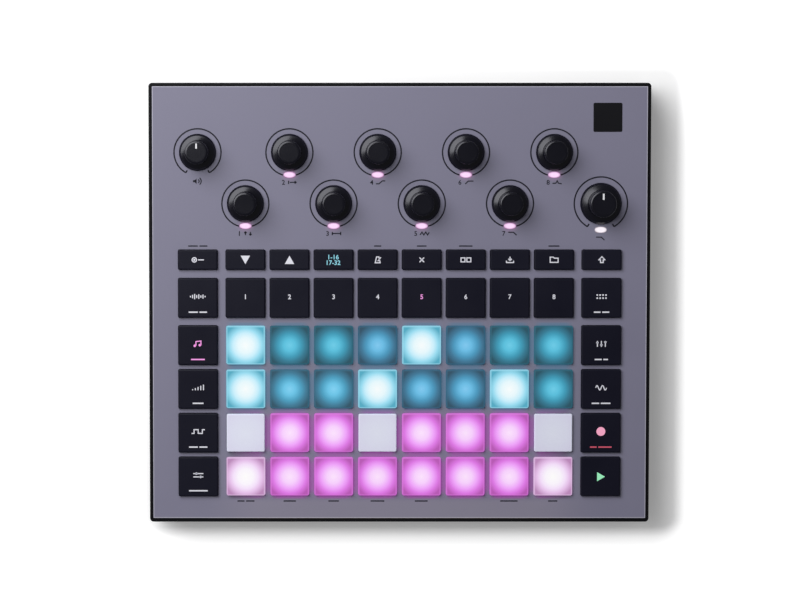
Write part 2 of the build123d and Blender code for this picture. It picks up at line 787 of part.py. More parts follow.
# Key: hollow chamfered cap with a retaining flange under the panel and a plunger down to the board
def build_key(x, y, depth):
    plunger_depth = plunger_width if depth == key_size else function_plunger_depth
    pocket_top = key_top - key_roof
    with BuildPart() as key:
        with BuildSketch(Plane((x, y, flange_under))):
            RectangleRounded(key_size, depth, key_corner)
        extrude(amount=key_top - flange_under)
        chamfer(key.faces().sort_by(Axis.Z)[-1].edges(), key_edge)
        with BuildSketch(Plane((x, y, flange_under))):
            Rectangle(key_size + 2 * flange_width, depth + 2 * flange_width)
        extrude(amount=flange_thickness)
        with BuildSketch(Plane((x, y, flange_under))):
            Rectangle(key_size - 2 * key_wall, depth - 2 * key_wall)
        extrude(amount=pocket_top - flange_under, mode=Mode.SUBTRACT)
        with BuildSketch(Plane((x, y, pocket_top))):
            Rectangle(plunger_width, plunger_depth)
        extrude(amount=key_tip - pocket_top)
    return key.part


for name, (x, y, depth) in keys.items():
    save(build_key(x, y, depth), name)

# Pads: four solid silicone pads to a column, each with a flange and a broad plunger
for i, x in enumerate(column_x):
    column = [(x, y) for y in pad_y]
    with BuildPart() as pad_column:
        with BuildSketch(Plane.XY.offset(flange_under)):
            with Locations(*column):
                RectangleRounded(pad_size, pad_size, pad_corner)
        extrude(amount=pad_top - flange_under)
        chamfer(pad_column.edges().group_by(Axis.Z)[-1], pad_edge)
        with BuildSketch(Plane.XY.offset(flange_under)):
            with Locations(*column):
                Rectangle(pad_size + 2 * flange_width, pad_size + 2 * flange_width)
        extrude(amount=flange_thickness)
        with BuildSketch(Plane.XY.offset(flange_under)):
            with Locations(*column):
                Rectangle(pad_plunger_width, pad_plunger_width)
        extrude(amount=pad_tip - flange_under)
    save(pad_column.part, f"pad_column_{i + 1}")

# Power button: round cap just proud of the rear panel, a flange behind it and a stem to the switch
with BuildPart() as power_button:
    with BuildSketch(rear_plane(rear_x["power"], plate_outer + button_rise, button_z)):
        Circle(button_radius)
    extrude(amount=flange_front - plate_outer - button_rise)
    with BuildSketch(rear_plane(rear_x["power"], flange_front, button_z)):
        Circle(button_radius + button_flange)
    extrude(amount=-button_flange_thickness)
    with BuildSketch(rear_plane(rear_x["power"], flange_front, button_z)):
        Circle(button_stem_radius)
    extrude(amount=stem_end - flange_front)
save(power_button.part, "power_button")
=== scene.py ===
import math
import bpy
import numpy as np
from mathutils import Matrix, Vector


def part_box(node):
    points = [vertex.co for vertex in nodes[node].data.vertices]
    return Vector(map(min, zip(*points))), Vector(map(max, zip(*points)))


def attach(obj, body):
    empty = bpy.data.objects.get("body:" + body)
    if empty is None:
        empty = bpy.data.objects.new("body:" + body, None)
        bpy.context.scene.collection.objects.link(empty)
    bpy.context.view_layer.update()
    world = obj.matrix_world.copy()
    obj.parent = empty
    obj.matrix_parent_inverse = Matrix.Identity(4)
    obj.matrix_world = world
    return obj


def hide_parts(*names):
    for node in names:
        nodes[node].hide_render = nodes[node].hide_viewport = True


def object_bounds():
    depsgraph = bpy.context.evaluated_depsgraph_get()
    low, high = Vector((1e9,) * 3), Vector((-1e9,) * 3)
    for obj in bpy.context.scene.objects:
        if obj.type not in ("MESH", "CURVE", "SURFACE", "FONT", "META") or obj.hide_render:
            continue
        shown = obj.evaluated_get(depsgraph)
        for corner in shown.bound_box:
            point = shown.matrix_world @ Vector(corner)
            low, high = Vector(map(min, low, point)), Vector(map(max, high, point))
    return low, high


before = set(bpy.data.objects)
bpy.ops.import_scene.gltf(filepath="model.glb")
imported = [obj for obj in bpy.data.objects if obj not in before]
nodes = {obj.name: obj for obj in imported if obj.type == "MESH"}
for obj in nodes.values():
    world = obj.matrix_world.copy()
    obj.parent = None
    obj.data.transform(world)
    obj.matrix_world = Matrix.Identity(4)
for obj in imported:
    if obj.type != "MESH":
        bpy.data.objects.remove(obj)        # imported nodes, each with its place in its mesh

cadBox = [list(corner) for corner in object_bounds()]
mm = 0.001
sharpAngle = math.radians(35)        # edges that bend more than this are sharp
print("frame:", len(nodes), "nodes")


# A shape is (points in mm, face corners one after another, corners of each face).
def joinShapes(shapes):
    # the points follow one another, so each shape's corners are moved on by the points before it
    starts = np.cumsum([0] + [len(shape[0]) for shape in shapes[:-1]])
    points = np.concatenate([shape[0] for shape in shapes])
    corners = np.concatenate([shape[1] + start for shape, start in zip(shapes, starts)])
    sizes = np.concatenate([shape[2] for shape in shapes])
    return points, corners, sizes


def loft(rings, wrap=False):
    # quads join each ring to the next; a fan closes each end, or the last ring meets the first
    count = rings.shape[1]
    here = np.arange(count)
    after = (here + 1) % count
    first = np.arange(len(rings) if wrap else len(rings) - 1)[:, None]
    low, high = first * count, (first + 1) % len(rings) * count
    quads = np.stack([low + here, low + after, high + after, high + here], -1).reshape(-1, 4)
    points = rings.reshape(-1, 3)
    if wrap:
        return points, quads.ravel(), np.full(len(quads), 4)
    total = len(points)
    points = np.concatenate([points, rings[0].mean(0)[None], rings[-1].mean(0)[None]])
    under = np.stack([np.full(count, total), after, here], -1)
    over = np.stack([total - count + here, total - count + after, np.full(count, total + 1)], -1)
    corners = np.concatenate([quads.ravel(), under.ravel(), over.ravel()])
    return points, corners, np.concatenate([np.full(len(quads), 4), np.full(2 * count, 3)])


def roundedRings(place, size, corner, profile, steps=6):
    # a quarter circle round each of four corner centres; the profile gives each ring's inset and height
    leastRadius = 0.05
    inset, height = np.asarray(profile, float).T[:, :, None, None]
    turn = np.linspace(0, np.pi / 2, steps + 1) + np.pi / 2 * np.arange(4)[:, None]
    signX, signY = np.array([[1, -1, -1, 1], [1, 1, -1, -1]])[:, :, None]
    radius = np.maximum(corner - inset, leastRadius)
    x = place[0] + signX * (size[0] / 2 - inset - radius) + radius * np.cos(turn)
    y = place[1] + signY * (size[1] / 2 - inset - radius) + radius * np.sin(turn)
    return np.stack([x, y, height + 0 * x], -1).reshape(len(inset), -1, 3)


def lathe(place, profile, count=96):
    # each point of the profile (radius, height) goes once round the upright axis
    radius, height = np.asarray(profile, float).T[:, :, None]
    turn = 2 * np.pi * np.arange(count) / count
    x = place[0] + radius * np.cos(turn)
    return loft(np.stack([x, place[1] + radius * np.sin(turn), height + 0 * x], -1))


def arc(centre, radii, start, end, steps):
    # points of an ellipse arc, angles in degrees
    turn = np.radians(np.linspace(start, end, steps))
    return np.stack([centre[0] + radii[0] * np.cos(turn), centre[1] + radii[1] * np.sin(turn)], -1)


def circle(centre, radius):
    # one turn in 24 points, 15 degrees apart
    return arc(centre, (radius, radius), 0, 345, 24)


def ribbon(path, width, base, thick, closed=False):
    # a rectangle set across the path at each of its points, mitred at the bends
    leastMitre = 0.5
    path = np.asarray(path, float)
    ahead = np.roll(path, -1, 0) - path
    if not closed:
        ahead[-1] = ahead[-2]
    ahead /= np.linalg.norm(ahead, axis=1)[:, None]
    behind = np.roll(ahead, 1, 0)
    if not closed:
        behind[0] = ahead[0]
    across = (ahead + behind)[:, ::-1] * (-1, 1)
    across /= np.linalg.norm(across, axis=1)[:, None]
    mitre = np.maximum((across * ahead[:, ::-1] * (-1, 1)).sum(1), leastMitre)
    side = across * (width / 2 / mitre)[:, None]
    low = np.full((len(path), 1), base)
    edges = [(side, thick), (-side, thick), (-side, 0), (side, 0)]
    rails = [np.concatenate([path + shift, low + rise], 1) for shift, rise in edges]
    return loft(np.stack(rails, 1), closed)


def plate(outline, base, thick):
    # a flat outline, counter-clockwise, at its base and again at its top
    level = np.ones((len(outline), 1))
    return loft(np.stack([np.concatenate([outline, level * z], 1) for z in (base, base + thick)]))


def addObject(name, data):
    # a new object in the scene
    made = bpy.data.objects.new(name, data)
    bpy.context.scene.collection.objects.link(made)
    return made


def figures(text, height, place, base, thick):
    # the filled face of plain figures, its copy turned over below, and walls along each edge with one face
    curve = bpy.data.curves.new("figures", "FONT")
    curve.body = text
    curve.resolution_u = 3
    curve.offset = 0.018        # a little bolder
    carrier = addObject("figures", curve)
    flat = bpy.data.meshes.new_from_object(carrier)
    flat.calc_loop_triangles()
    points = np.zeros(3 * len(flat.vertices))
    flat.vertices.foreach_get("co", points)
    faces = np.zeros(3 * len(flat.loop_triangles), int)
    flat.loop_triangles.foreach_get("vertices", faces)
    bpy.data.objects.remove(carrier)
    bpy.data.meshes.remove(flat)
    points, faces = points.reshape(-1, 3)[:, :2], faces.reshape(-1, 3)
    points, same = np.unique(np.round(points, 6), axis=0, return_inverse=True)
    faces = same.ravel()[faces]
    low, high = points.min(0), points.max(0)
    points = (points - (low + high) / 2) * height / (high[1] - low[1]) + place
    a, b, c = (points[faces[:, i]] for i in range(3))
    area = (b - a)[:, 0] * (c - a)[:, 1] - (b - a)[:, 1] * (c - a)[:, 0]
    faces = np.where(area[:, None] > 0, faces, faces[:, ::-1])[area != 0]
    edges = np.concatenate([faces[:, [0, 1]], faces[:, [1, 2]], faces[:, [2, 0]]])
    count = len(points)
    rim = edges[~np.isin(edges[:, 0] * count + edges[:, 1], edges[:, 1] * count + edges[:, 0])]
    walls = np.stack([rim[:, 0], rim[:, 1], rim[:, 1] + count, rim[:, 0] + count], -1)
    level = np.ones((count, 1))
    points = np.concatenate([np.concatenate([points, level * z], 1) for z in (base, base + thick)])
    corners = np.concatenate([faces[:, ::-1].ravel(), (faces + count).ravel(), walls.ravel()])
    return points, corners, np.concatenate([np.full(2 * len(faces), 3), np.full(len(walls), 4)])


def makePiece(name, shape, body, finishes, pick=None, flatMap=None):
    # the arrays go into a mesh that sits at the origin; pick gives each face its finish, and flatMap gives
    # each point its UV
    points, corners, sizes = shape
    mesh = bpy.data.meshes.new(name)
    mesh.vertices.add(len(points))
    mesh.loops.add(len(corners))
    mesh.polygons.add(len(sizes))
    mesh.vertices.foreach_set("co", (points * mm).ravel())
    mesh.loops.foreach_set("vertex_index", corners)
    mesh.polygons.foreach_set("loop_start", np.cumsum(sizes) - sizes)
    mesh.polygons.foreach_set("use_smooth", np.ones(len(sizes), bool))
    for finish in finishes:
        mesh.materials.append(finish)
    if pick is not None:
        mesh.polygons.foreach_set("material_index", pick)
    mesh.update(calc_edges=True)
    mesh.set_sharp_from_angle(angle=sharpAngle)
    if flatMap is not None:
        mesh.uv_layers.new(name="face").data.foreach_set("uv", flatMap[corners].ravel())
    piece = addObject(name, mesh)
    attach(piece, body)
    return piece


def placeOf(node):
    # middle in plan, size in plan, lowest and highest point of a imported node, in mm
    low, high = (np.array(corner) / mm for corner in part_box(node))
    return (low + high)[:2] / 2, high[:2] - low[:2], low[2], high[2]


# Shader nodes
def feed(tree, sockets, given):
    # each named socket takes another node's output, a colour as three numbers, or any other constant
    for name, value in given.items():
        if isinstance(value, bpy.types.NodeSocket):
            tree.links.new(value, sockets[name])
        else:
            sockets[name].default_value = (*value, 1) if sockets[name].type == "RGBA" else value


def addNode(tree, kind, given=None, **settings):
    # one node with its settings and what feeds it
    node = tree.nodes.new("ShaderNode" + kind)
    for setting, value in settings.items():
        setattr(node, setting, value)
    feed(tree, node.inputs, given or {})
    return node


def addMath(tree, operation, *given):
    # a sum of outputs and constants, in the order of its inputs
    return addNode(tree, "Math", dict(enumerate(given)), operation=operation).outputs[0]


def addVector(tree, operation, *given):
    # the same for vectors; a length comes out as a number
    node = addNode(tree, "VectorMath", dict(enumerate(given)), operation=operation)
    return node.outputs["Value" if operation == "LENGTH" else "Vector"]


def addScaled(tree, vector, share):
    # a vector or a colour times a number
    return addNode(tree, "VectorMath", {0: vector, "Scale": share}, operation="SCALE").outputs["Vector"]


def addRange(tree, value, start, end, low=0.0, high=1.0, ease="LINEAR"):
    # as the value goes from start to end, low turns into high, and beyond them it stays
    given = {"Value": value, "From Min": start, "From Max": end, "To Min": low, "To Max": high}
    return addNode(tree, "MapRange", given, interpolation_type=ease).outputs["Result"]


def addMix(tree, share, first, second):
    # a share of 0 gives the first colour and 1 the second
    return addNode(tree, "Mix", {0: share, 6: first, 7: second}, data_type="RGBA").outputs[2]


def addRamp(tree, share, stops):
    # colours between stops (share, colour); a new ramp comes with two stops
    ramp = addNode(tree, "ValToRGB", {"Fac": share})
    elements = ramp.color_ramp.elements
    for i, (position, colour) in enumerate(stops):
        stop = elements[i] if i < 2 else elements.new(position)
        stop.position = position
        stop.color = (*colour, 1)
    return ramp.outputs["Color"]


def distanceFrom(tree, coordinate, middle):
    # the size of the difference, with the middle in mm
    return addMath(tree, "ABSOLUTE", addMath(tree, "SUBTRACT", coordinate, middle * mm))


# Shared effects
def makeGroup(name, inputs, outputs):
    # a node group with sockets (name, kind, value) going in and (name, kind) coming out
    tree = bpy.data.node_groups.new(name, "ShaderNodeTree")
    for socket, kind, value in inputs:
        made = tree.interface.new_socket(socket, in_out="INPUT", socket_type="NodeSocket" + kind)
        if value is not None:
            made.default_value = value
    for socket, kind in outputs:
        tree.interface.new_socket(socket, in_out="OUTPUT", socket_type="NodeSocket" + kind)
    return tree, tree.nodes.new("NodeGroupInput").outputs, tree.nodes.new("NodeGroupOutput").inputs


def finishGroup(name, defaults, draw):
    # the noise's sway times the drift shifts the colour, and its broad part picks the roughness
    noiseSpan = (0.3, 0.7)
    inputs = [("Vector", "Vector", None), ("Colour", "Color", (0.5, 0.5, 0.5, 1))]
    inputs += [(socket, "Float", value) for socket, value in defaults.items()]
    outputs = [("Colour", "Color"), ("Roughness", "Float"), ("Height", "Float")]
    tree, source, result = makeGroup(name, inputs, outputs)
    broad, fine, sway = draw(tree, source)
    gain = addMath(tree, "MULTIPLY_ADD", sway, source["Drift"], 1.0)
    gloss = addRange(tree, broad, *noiseSpan, source["Smooth"], source["Rough"])
    tint = addScaled(tree, source["Colour"], gain)
    feed(tree, result, {"Colour": tint, "Roughness": gloss, "Height": fine})
    return tree


def mouldedNoise(tree, source):
    # two noises: a slow one drifts the colour and the gloss, a fine one is the grain of the mould
    where = source["Vector"]
    slow = addNode(tree, "TexNoise", {"Vector": where, "Scale": 35.0, "Detail": 3.0, "Roughness": 0.55})
    fine = addNode(tree, "TexNoise", {"Vector": where, "Scale": source["Grain Scale"], "Detail": 2.0})
    both = addMath(tree, "ADD", slow.outputs["Fac"], fine.outputs["Fac"])
    return slow.outputs["Fac"], fine.outputs["Fac"], addMath(tree, "SUBTRACT", both, 1.0)


def brushedNoise(tree, source):
    # noise drawn out along one axis: fine lines that shift the tone and the gloss of metal
    drawn = addNode(tree, "Mapping", {"Vector": source["Vector"], "Scale": (260, 5200, 5200)})
    noise = addNode(tree, "TexNoise", {"Vector": drawn.outputs["Vector"], "Scale": 1.0, "Detail": 3.0})
    lines = noise.outputs["Fac"]
    return lines, lines, addMath(tree, "SUBTRACT", lines, 0.5)


faceLook = {"diagonal": 1.42, "rimLine": (0.93, 0.97), "rimShare": 0.6}


def lampSpread():
    # on a face whose UV runs from -1 to 1: the distance from its middle as a share of the diagonal, and a
    # mask of the line along its square edge
    tree, source, result = makeGroup(
        "lampSpread", [("Face", "Vector", None)], [("Reach", "Float"), ("Edge", "Float")])
    reach = addMath(tree, "DIVIDE", addVector(tree, "LENGTH", source["Face"]), faceLook["diagonal"])
    parts = addNode(tree, "SeparateXYZ", {0: addVector(tree, "ABSOLUTE", source["Face"])}).outputs
    square = addMath(tree, "MAXIMUM", parts[0], parts[1])
    edge = addRange(tree, square, *faceLook["rimLine"], 0.0, faceLook["rimShare"])
    feed(tree, result, {"Reach": reach, "Edge": edge})
    return tree


grainValues = {"Drift": 0.1, "Grain Scale": 2000.0, "Smooth": 0.4, "Rough": 0.5}
grainGroup = finishGroup("mouldedFinish", grainValues, mouldedNoise)
brushGroup = finishGroup("brushedFinish", {"Drift": 0.2, "Smooth": 0.2, "Rough": 0.4}, brushedNoise)
spreadGroup = lampSpread()


def startMaterial(name, constants):
    # a material, its nodes, and the inputs of its shader with these constants on them
    material = bpy.data.materials.new(name)
    material.use_nodes = True
    shader = material.node_tree.nodes["Principled BSDF"].inputs
    feed(material.node_tree, shader, constants)
    return material, material.node_tree, shader


def addEffect(tree, group, values):
    # the place on the piece, and what a shared group makes of it
    where = addNode(tree, "TexCoord").outputs["Object"]
    return where, addNode(tree, "Group", {"Vector": where, **values}, node_tree=group).outputs


def addRelief(tree, shader, effect, bump):
    # the effect's roughness, and a shallow bump from its height
    relief = addNode(tree, "Bump", {"Height": effect["Height"], "Strength": bump, "Distance": 0.0001})
    feed(tree, shader, {"Roughness": effect["Roughness"], "Normal": relief.outputs["Normal"]})


def finishFrom(group, name, bump, values, constants):
    # one shared group feeds the colour, the roughness and a shallow bump
    material, tree, shader = startMaterial(name, constants)
    where, effect = addEffect(tree, group, values)
    addRelief(tree, shader, effect, bump)
    feed(tree, shader, {"Base Color": effect["Colour"]})
    return material, tree, shader, where, effect


def moulded(name, colour, drift, grain, smooth, rough, bump, constants=None):
    # plastic, rubber, paint and paper
    values = {"Colour": colour, "Drift": drift, "Grain Scale": grain, "Smooth": smooth, "Rough": rough}
    return finishFrom(grainGroup, name, bump, values, constants or {})


def brushed(name, colour, drift, smooth, rough, bump):
    # bare metal
    values = {"Colour": colour, "Drift": drift, "Smooth": smooth, "Rough": rough}
    return finishFrom(brushGroup, name, bump, values, {"Metallic": 1.0})


def spreadRamp(tree, stops, tint=(1, 1, 1)):
    # the mask of the face's edge, and colours by the distance from the middle of the face
    flat = addNode(tree, "UVMap", uv_map="face").outputs["UV"]
    spread = addNode(tree, "Group", {"Face": flat}, node_tree=spreadGroup).outputs
    shares = [(reach / faceLook["diagonal"], np.multiply(colour, tint)) for reach, colour in stops]
    return spread["Edge"], addRamp(tree, spread["Reach"], shares)


# Where the knobs and pads stand, and the light in front of each encoder and of the filter knob. A light's
# crown is (inset, drop), and its colours go by the distance from its middle
lightLook = {"size": (5.6, 2.75), "step": 2.0, "filterStep": 2.75, "flange": 0.8, "flangeThick": 1.0,
             "crown": [(0, 0.16), (0.1, 0.08), (0.4, 0.02), (0.9, 0)], "body": 0.05,
             "pink": [(0.0, (0.93, 0.66, 0.93)), (0.6, (0.95, 0.69, 0.95)), (0.9, (0.80, 0.50, 0.78)),
                      (1.0, (0.52, 0.27, 0.50)), (1.15, (0.20, 0.09, 0.19))],
             "white": [(0.0, (0.90, 0.82, 0.91)), (0.6, (0.96, 0.90, 0.96)), (0.9, (0.82, 0.75, 0.82)),
                       (1.0, (0.52, 0.46, 0.52)), (1.15, (0.20, 0.17, 0.20))]}
litKnobs = ["filter_knob"] + [f"encoder_knob_{i}" for i in range(1, 9)]
knobPlaces = {name: placeOf(name) for name in ["volume_knob"] + litKnobs}
lightPlaces = {}
for knobName in litKnobs:
    middle, size = knobPlaces[knobName][:2]
    step = lightLook["filterStep" if knobName == "filter_knob" else "step"]
    lightPlaces[knobName] = middle - (0, size[0] / 2 + step)
padCounts = np.array([8, 4])        # columns and rows
padFirst, padLast = placeOf("pad_column_1")[0], placeOf("pad_column_8")[0]
padPitch = (padLast[0] - padFirst[0]) / (padCounts[0] - 1)
padField = (padFirst + padLast) / 2

# Grey panel: satin paint, with painted shade of the rim along each side and a paler line beside it, a
# painted highlight where the edge is broken; a painted pink glow beside each encoder's light; the pads'
# light painted on the bars between them, which painted shade darkens; and the front pads' light painted on a
# strip before them
panelLook = {"colour": (0.190, 0.183, 0.260), "thick": 2.4,
             # the paler edge line is a painted highlight; shade is the width of the rim's painted shade,
             # (left, right), (front, rear)
             "edgeHighlightColour": (0.46, 0.45, 0.54), "edgeHighlightWidth": 0.35, "edgeHighlightFull": 0.7,
             "shadeColour": (0.012, 0.012, 0.018), "shade": ((0.4, 0.35), (0.6, 0.4)), "shadeEase": 0.05,
             "paintedSpill": (0.066, 0.015, 0.050), "spillReach": (2.2, 5.4), "spillSquash": 1.4, "spillEnd": 84.0,
             "barShade": 0.4, "barReach": (10.4, 5.0), "barGrow": (-1.2, 0.2), "barEase": 0.5,
             "paintedBarBlue": (0.01, 0.072, 0.125), "paintedBarPink": (0.165, 0.012, 0.17), "barTurn": 1.5,
             "barFade": (3.9, 2.9), "front": (0.032, 0.025, 0.020), "frontDrop": 5.5,
             "frontDeep": (3.0, 6.5), "frontWide": (3.0, 4.6)}
panelMiddle, panelSize, _, panelTop = placeOf("top_cover")


def spillMask(tree, plan, knobName):
    # painted glow of each encoder's light on the panel: x is wrapped to the spacing of every second encoder,
    # so one distance serves a whole row of lights
    half = (lightPlaces["encoder_knob_3"][0] - lightPlaces["encoder_knob_1"][0]) / 2 * mm
    x, y = lightPlaces[knobName] * mm
    across = addMath(tree, "WRAP", addMath(tree, "SUBTRACT", plan[0], x), half, -half)
    along = addMath(tree, "MULTIPLY", addMath(tree, "SUBTRACT", plan[1], y), panelLook["spillSquash"])
    far = addVector(tree, "LENGTH", addNode(tree, "CombineXYZ", {0: across, 1: along}).outputs[0])
    return addRange(tree, far, *np.multiply(panelLook["spillReach"], mm), 1.0, 0.0, "SMOOTHSTEP")


def barMask(tree, plan):
    # painted shade and painted pad light on the bars between the pads: both coordinates are wrapped to the
    # pads' spacing; the smaller one is large only where two bars cross. The front rows' painted pink light
    # fades towards the outer columns
    look = panelLook
    half = padCounts / 2 * padPitch + look["barGrow"]
    wrap = padPitch / 2 * mm
    spans, reaches, insides = [], [], []
    for i in range(2):
        span = distanceFrom(tree, plan[i], padField[i])
        local = addMath(tree, "WRAP", addMath(tree, "SUBTRACT", span, wrap), wrap, -wrap)
        ends = (half[i] + np.multiply((1, -1), look["barEase"])) * mm
        spans.append(span)
        reaches.append(addMath(tree, "ABSOLUTE", local))
        insides.append(addRange(tree, span, *ends))
    nearer = addMath(tree, "MINIMUM", *reaches)
    between = addRange(tree, nearer, *np.multiply(look["barReach"], mm), ease="SMOOTHSTEP")
    bar = addMath(tree, "MULTIPLY", between, addMath(tree, "MULTIPLY", *insides))
    front = addRange(tree, plan[1], *((padField[1] + np.multiply((1, -1), look["barTurn"])) * mm))
    fade = addRange(tree, spans[0], *(np.multiply(look["barFade"], padPitch) * mm))
    share = addNode(tree, "Mix", {0: front, 2: 1.0, 3: fade}, data_type="FLOAT").outputs[0]
    colour = addMix(tree, front, look["paintedBarBlue"], look["paintedBarPink"])
    return bar, addScaled(tree, colour, addMath(tree, "MULTIPLY", bar, share))


def frontMask(tree, plan):
    # painted glow of the front pads' light on a strip before them, full within the near reach of its middle
    # and gone beyond the far one
    middles = padField - (0, padCounts[1] / 2 * padPitch + panelLook["frontDrop"])
    reaches = np.array([panelLook["frontWide"], panelLook["frontDeep"]]) * [[padPitch], [1]] * mm
    masks = [addRange(tree, distanceFrom(tree, plan[i], middles[i]), far, near, ease="SMOOTHSTEP")
             for i, (near, far) in enumerate(reaches)]
    return addScaled(tree, panelLook["front"], addMath(tree, "MULTIPLY", *masks))


def panelFinish():
    # nearest: the least distance to a side of the outline, less that side's painted shade; below 0 it is
    # painted shade, and within the edge's width the paler line, a painted highlight
    look = panelLook
    material, tree, shader, where, effect = moulded(
        "panelGreySatin", look["colour"], 0.05, 2600.0, 0.46, 0.56, 0.04, {"Emission Strength": 1.0})
    plan = addNode(tree, "SeparateXYZ", {0: where}).outputs
    pairs = []
    for i, shades in enumerate(look["shade"]):
        ends = [(sign, (sign * panelMiddle[i] + panelSize[i] / 2 - shade) * mm)
                for sign, shade in zip((-1, 1), shades)]
        sides = [addMath(tree, "MULTIPLY_ADD", plan[i], -sign, end) for sign, end in ends]
        pairs.append(addMath(tree, "MINIMUM", *sides))
    nearest = addMath(tree, "MINIMUM", *pairs)
    line = addRange(tree, nearest, look["edgeHighlightWidth"] * mm, look["edgeHighlightFull"] * look["edgeHighlightWidth"] * mm)
    # painted shade: a dark band along the sides where the rim's shadow falls on the panel
    shade = addRange(tree, nearest, look["shadeEase"] * mm, -look["shadeEase"] * mm)
    edgeHighlighted = addMix(tree, line, effect["Colour"], look["edgeHighlightColour"])
    shaded = addMix(tree, shade, edgeHighlighted, look["shadeColour"])
    bar, light = barMask(tree, plan)
    # painted shade darkens the bars between the pads
    paintedBarShade = addMath(tree, "MULTIPLY_ADD", bar, -look["barShade"], 1.0)
    # the pink glow of the encoders' lights, painted on the panel within a span of its middle
    rows = [spillMask(tree, plan, name) for name in ("encoder_knob_1", "encoder_knob_2")]
    across = distanceFrom(tree, plan[0], panelMiddle[0])
    inner = addMath(tree, "LESS_THAN", across, look["spillEnd"] * mm)
    paintedSpill = addScaled(tree, look["paintedSpill"], addMath(tree, "MULTIPLY", addMath(tree, "MAXIMUM", *rows), inner))
    pads = addVector(tree, "ADD", frontMask(tree, plan), light)
    feed(tree, shader, {"Base Color": addScaled(tree, shaded, paintedBarShade),
                        "Emission Color": addVector(tree, "ADD", paintedSpill, pads)})
    return material


# Circuit boards: green lacquer over copper lines that run in long narrow cells
boardLook = {"colour": (0.012, 0.085, 0.035), "track": (0.03, 0.17, 0.07),
             "cells": {"Scale": 60.0, "Mortar Size": 0.012, "Brick Width": 0.9, "Row Height": 0.11,
                       "Color1": (0, 0, 0), "Color2": (0, 0, 0), "Mortar": (1, 1, 1)}}


def boardFinish():
    # the joints of a brick pattern are the tracks
    material, tree, shader, where, effect = moulded(
        "boardGreenLacquer", boardLook["colour"], 0.2, 900.0, 0.22, 0.34, 0.05)
    tracks = addNode(tree, "TexBrick", {"Vector": where, **boardLook["cells"]}).outputs["Color"]
    feed(tree, shader, {"Base Color": addMix(tree, tracks, effect["Colour"], boardLook["track"])})
    return material


# Name, colour, drift of the colour, scale of the grain, least and greatest roughness, bump, and constants
matt = {"Specular IOR Level": 0.2}
mouldedLooks = {
    "case": ("caseBlackMoulded", (0.0028, 0.0028, 0.0042), 0.35, 1900.0, 0.42, 0.54, 0.20,
             {"Specular IOR Level": 0.12}),
    "rear": ("rearPlateBlack", (0.0085, 0.0085, 0.0100), 0.3, 2600.0, 0.36, 0.46, 0.12),
    "key": ("keyBlackSatin", (0.0042, 0.0042, 0.0125), 0.25, 2400.0, 0.36, 0.46, 0.08,
            {"Specular IOR Level": 0.17}),
    "knob": ("knobBlackSoft", (0.0008, 0.0008, 0.0042), 0.3, 2200.0, 0.20, 0.26, 0.05,
             {"Specular IOR Level": 0.44, "Specular Tint": (0.92, 0.92, 1.0)}),
    "pointer": ("pointerWhite", (0.80, 0.80, 0.83), 0.05, 3000.0, 0.40, 0.50, 0.03),
    "ink": ("panelInkDark", (0.006, 0.006, 0.013), 0.2, 3200.0, 0.48, 0.58, 0.03, matt),
    "plate": ("cornerPlateBlack", (0.0040, 0.0040, 0.0060), 0.2, 2600.0, 0.30, 0.38, 0.03, matt),
    "mat": ("matSilicone", (0.30, 0.30, 0.31), 0.12, 1500.0, 0.55, 0.68, 0.12),
    "rubber": ("footRubber", (0.018, 0.018, 0.019), 0.3, 1300.0, 0.68, 0.82, 0.30),
    "socket": ("socketBlackNylon", (0.010, 0.010, 0.011), 0.3, 1800.0, 0.34, 0.46, 0.12),
    "button": ("buttonBlack", (0.012, 0.012, 0.014), 0.25, 2200.0, 0.38, 0.48, 0.10),
}
# Name, colour, drift of the colour, least and greatest roughness, and bump
brushedLooks = {
    "rotary": ("rotarySteel", (0.55, 0.55, 0.56), 0.22, 0.26, 0.40, 0.05),
    "port": ("portSteel", (0.60, 0.60, 0.61), 0.18, 0.22, 0.34, 0.04),
    "screw": ("screwSteelDark", (0.12, 0.12, 0.125), 0.25, 0.30, 0.44, 0.05),
    "foil": ("batteryFoil", (0.62, 0.62, 0.64), 0.12, 0.30, 0.46, 0.06),
}
finishes = {"panel": panelFinish(), "board": boardFinish()}
finishes.update({use: moulded(*look)[0] for use, look in mouldedLooks.items()})
finishes.update({use: brushed(*look)[0] for use, look in brushedLooks.items()})
print("finishes:", len(finishes))

nodeFinish = {
    "top_cover": "panel", "bottom_case": "case", "rear_panel": "rear", "circuit_boards": "board",
    "key_mat": "mat", "rotary_bodies": "rotary", "jack_sockets": "socket", "midi_sockets": "socket",
    "port_sockets": "port", "battery_pack": "foil", "rubber_feet": "rubber", "screws": "screw",
    "power_button": "button",
}
for nodeName, finishName in nodeFinish.items():
    slots = nodes[nodeName].data.materials
    slots.clear()
    slots.append(finishes[finishName])
print("packed nodes dressed:", len(nodeFinish))


# Lights: clear flanged lenses with a lamp under each
def lightFinish(name):
    # the glow fills an oval and dies towards the lens's corners
    material, tree, shader = startMaterial("light_" + name, {"Emission Strength": 1.0, "Roughness": 0.25})
    ramp = spreadRamp(tree, lightLook[name])[1]
    _, effect = addEffect(tree, grainGroup, {"Colour": ramp, "Drift": 0.06, "Grain Scale": 900.0})
    feed(tree, shader, {"Base Color": addScaled(tree, effect["Colour"], lightLook["body"]),
                        "Emission Color": effect["Colour"]})
    return material


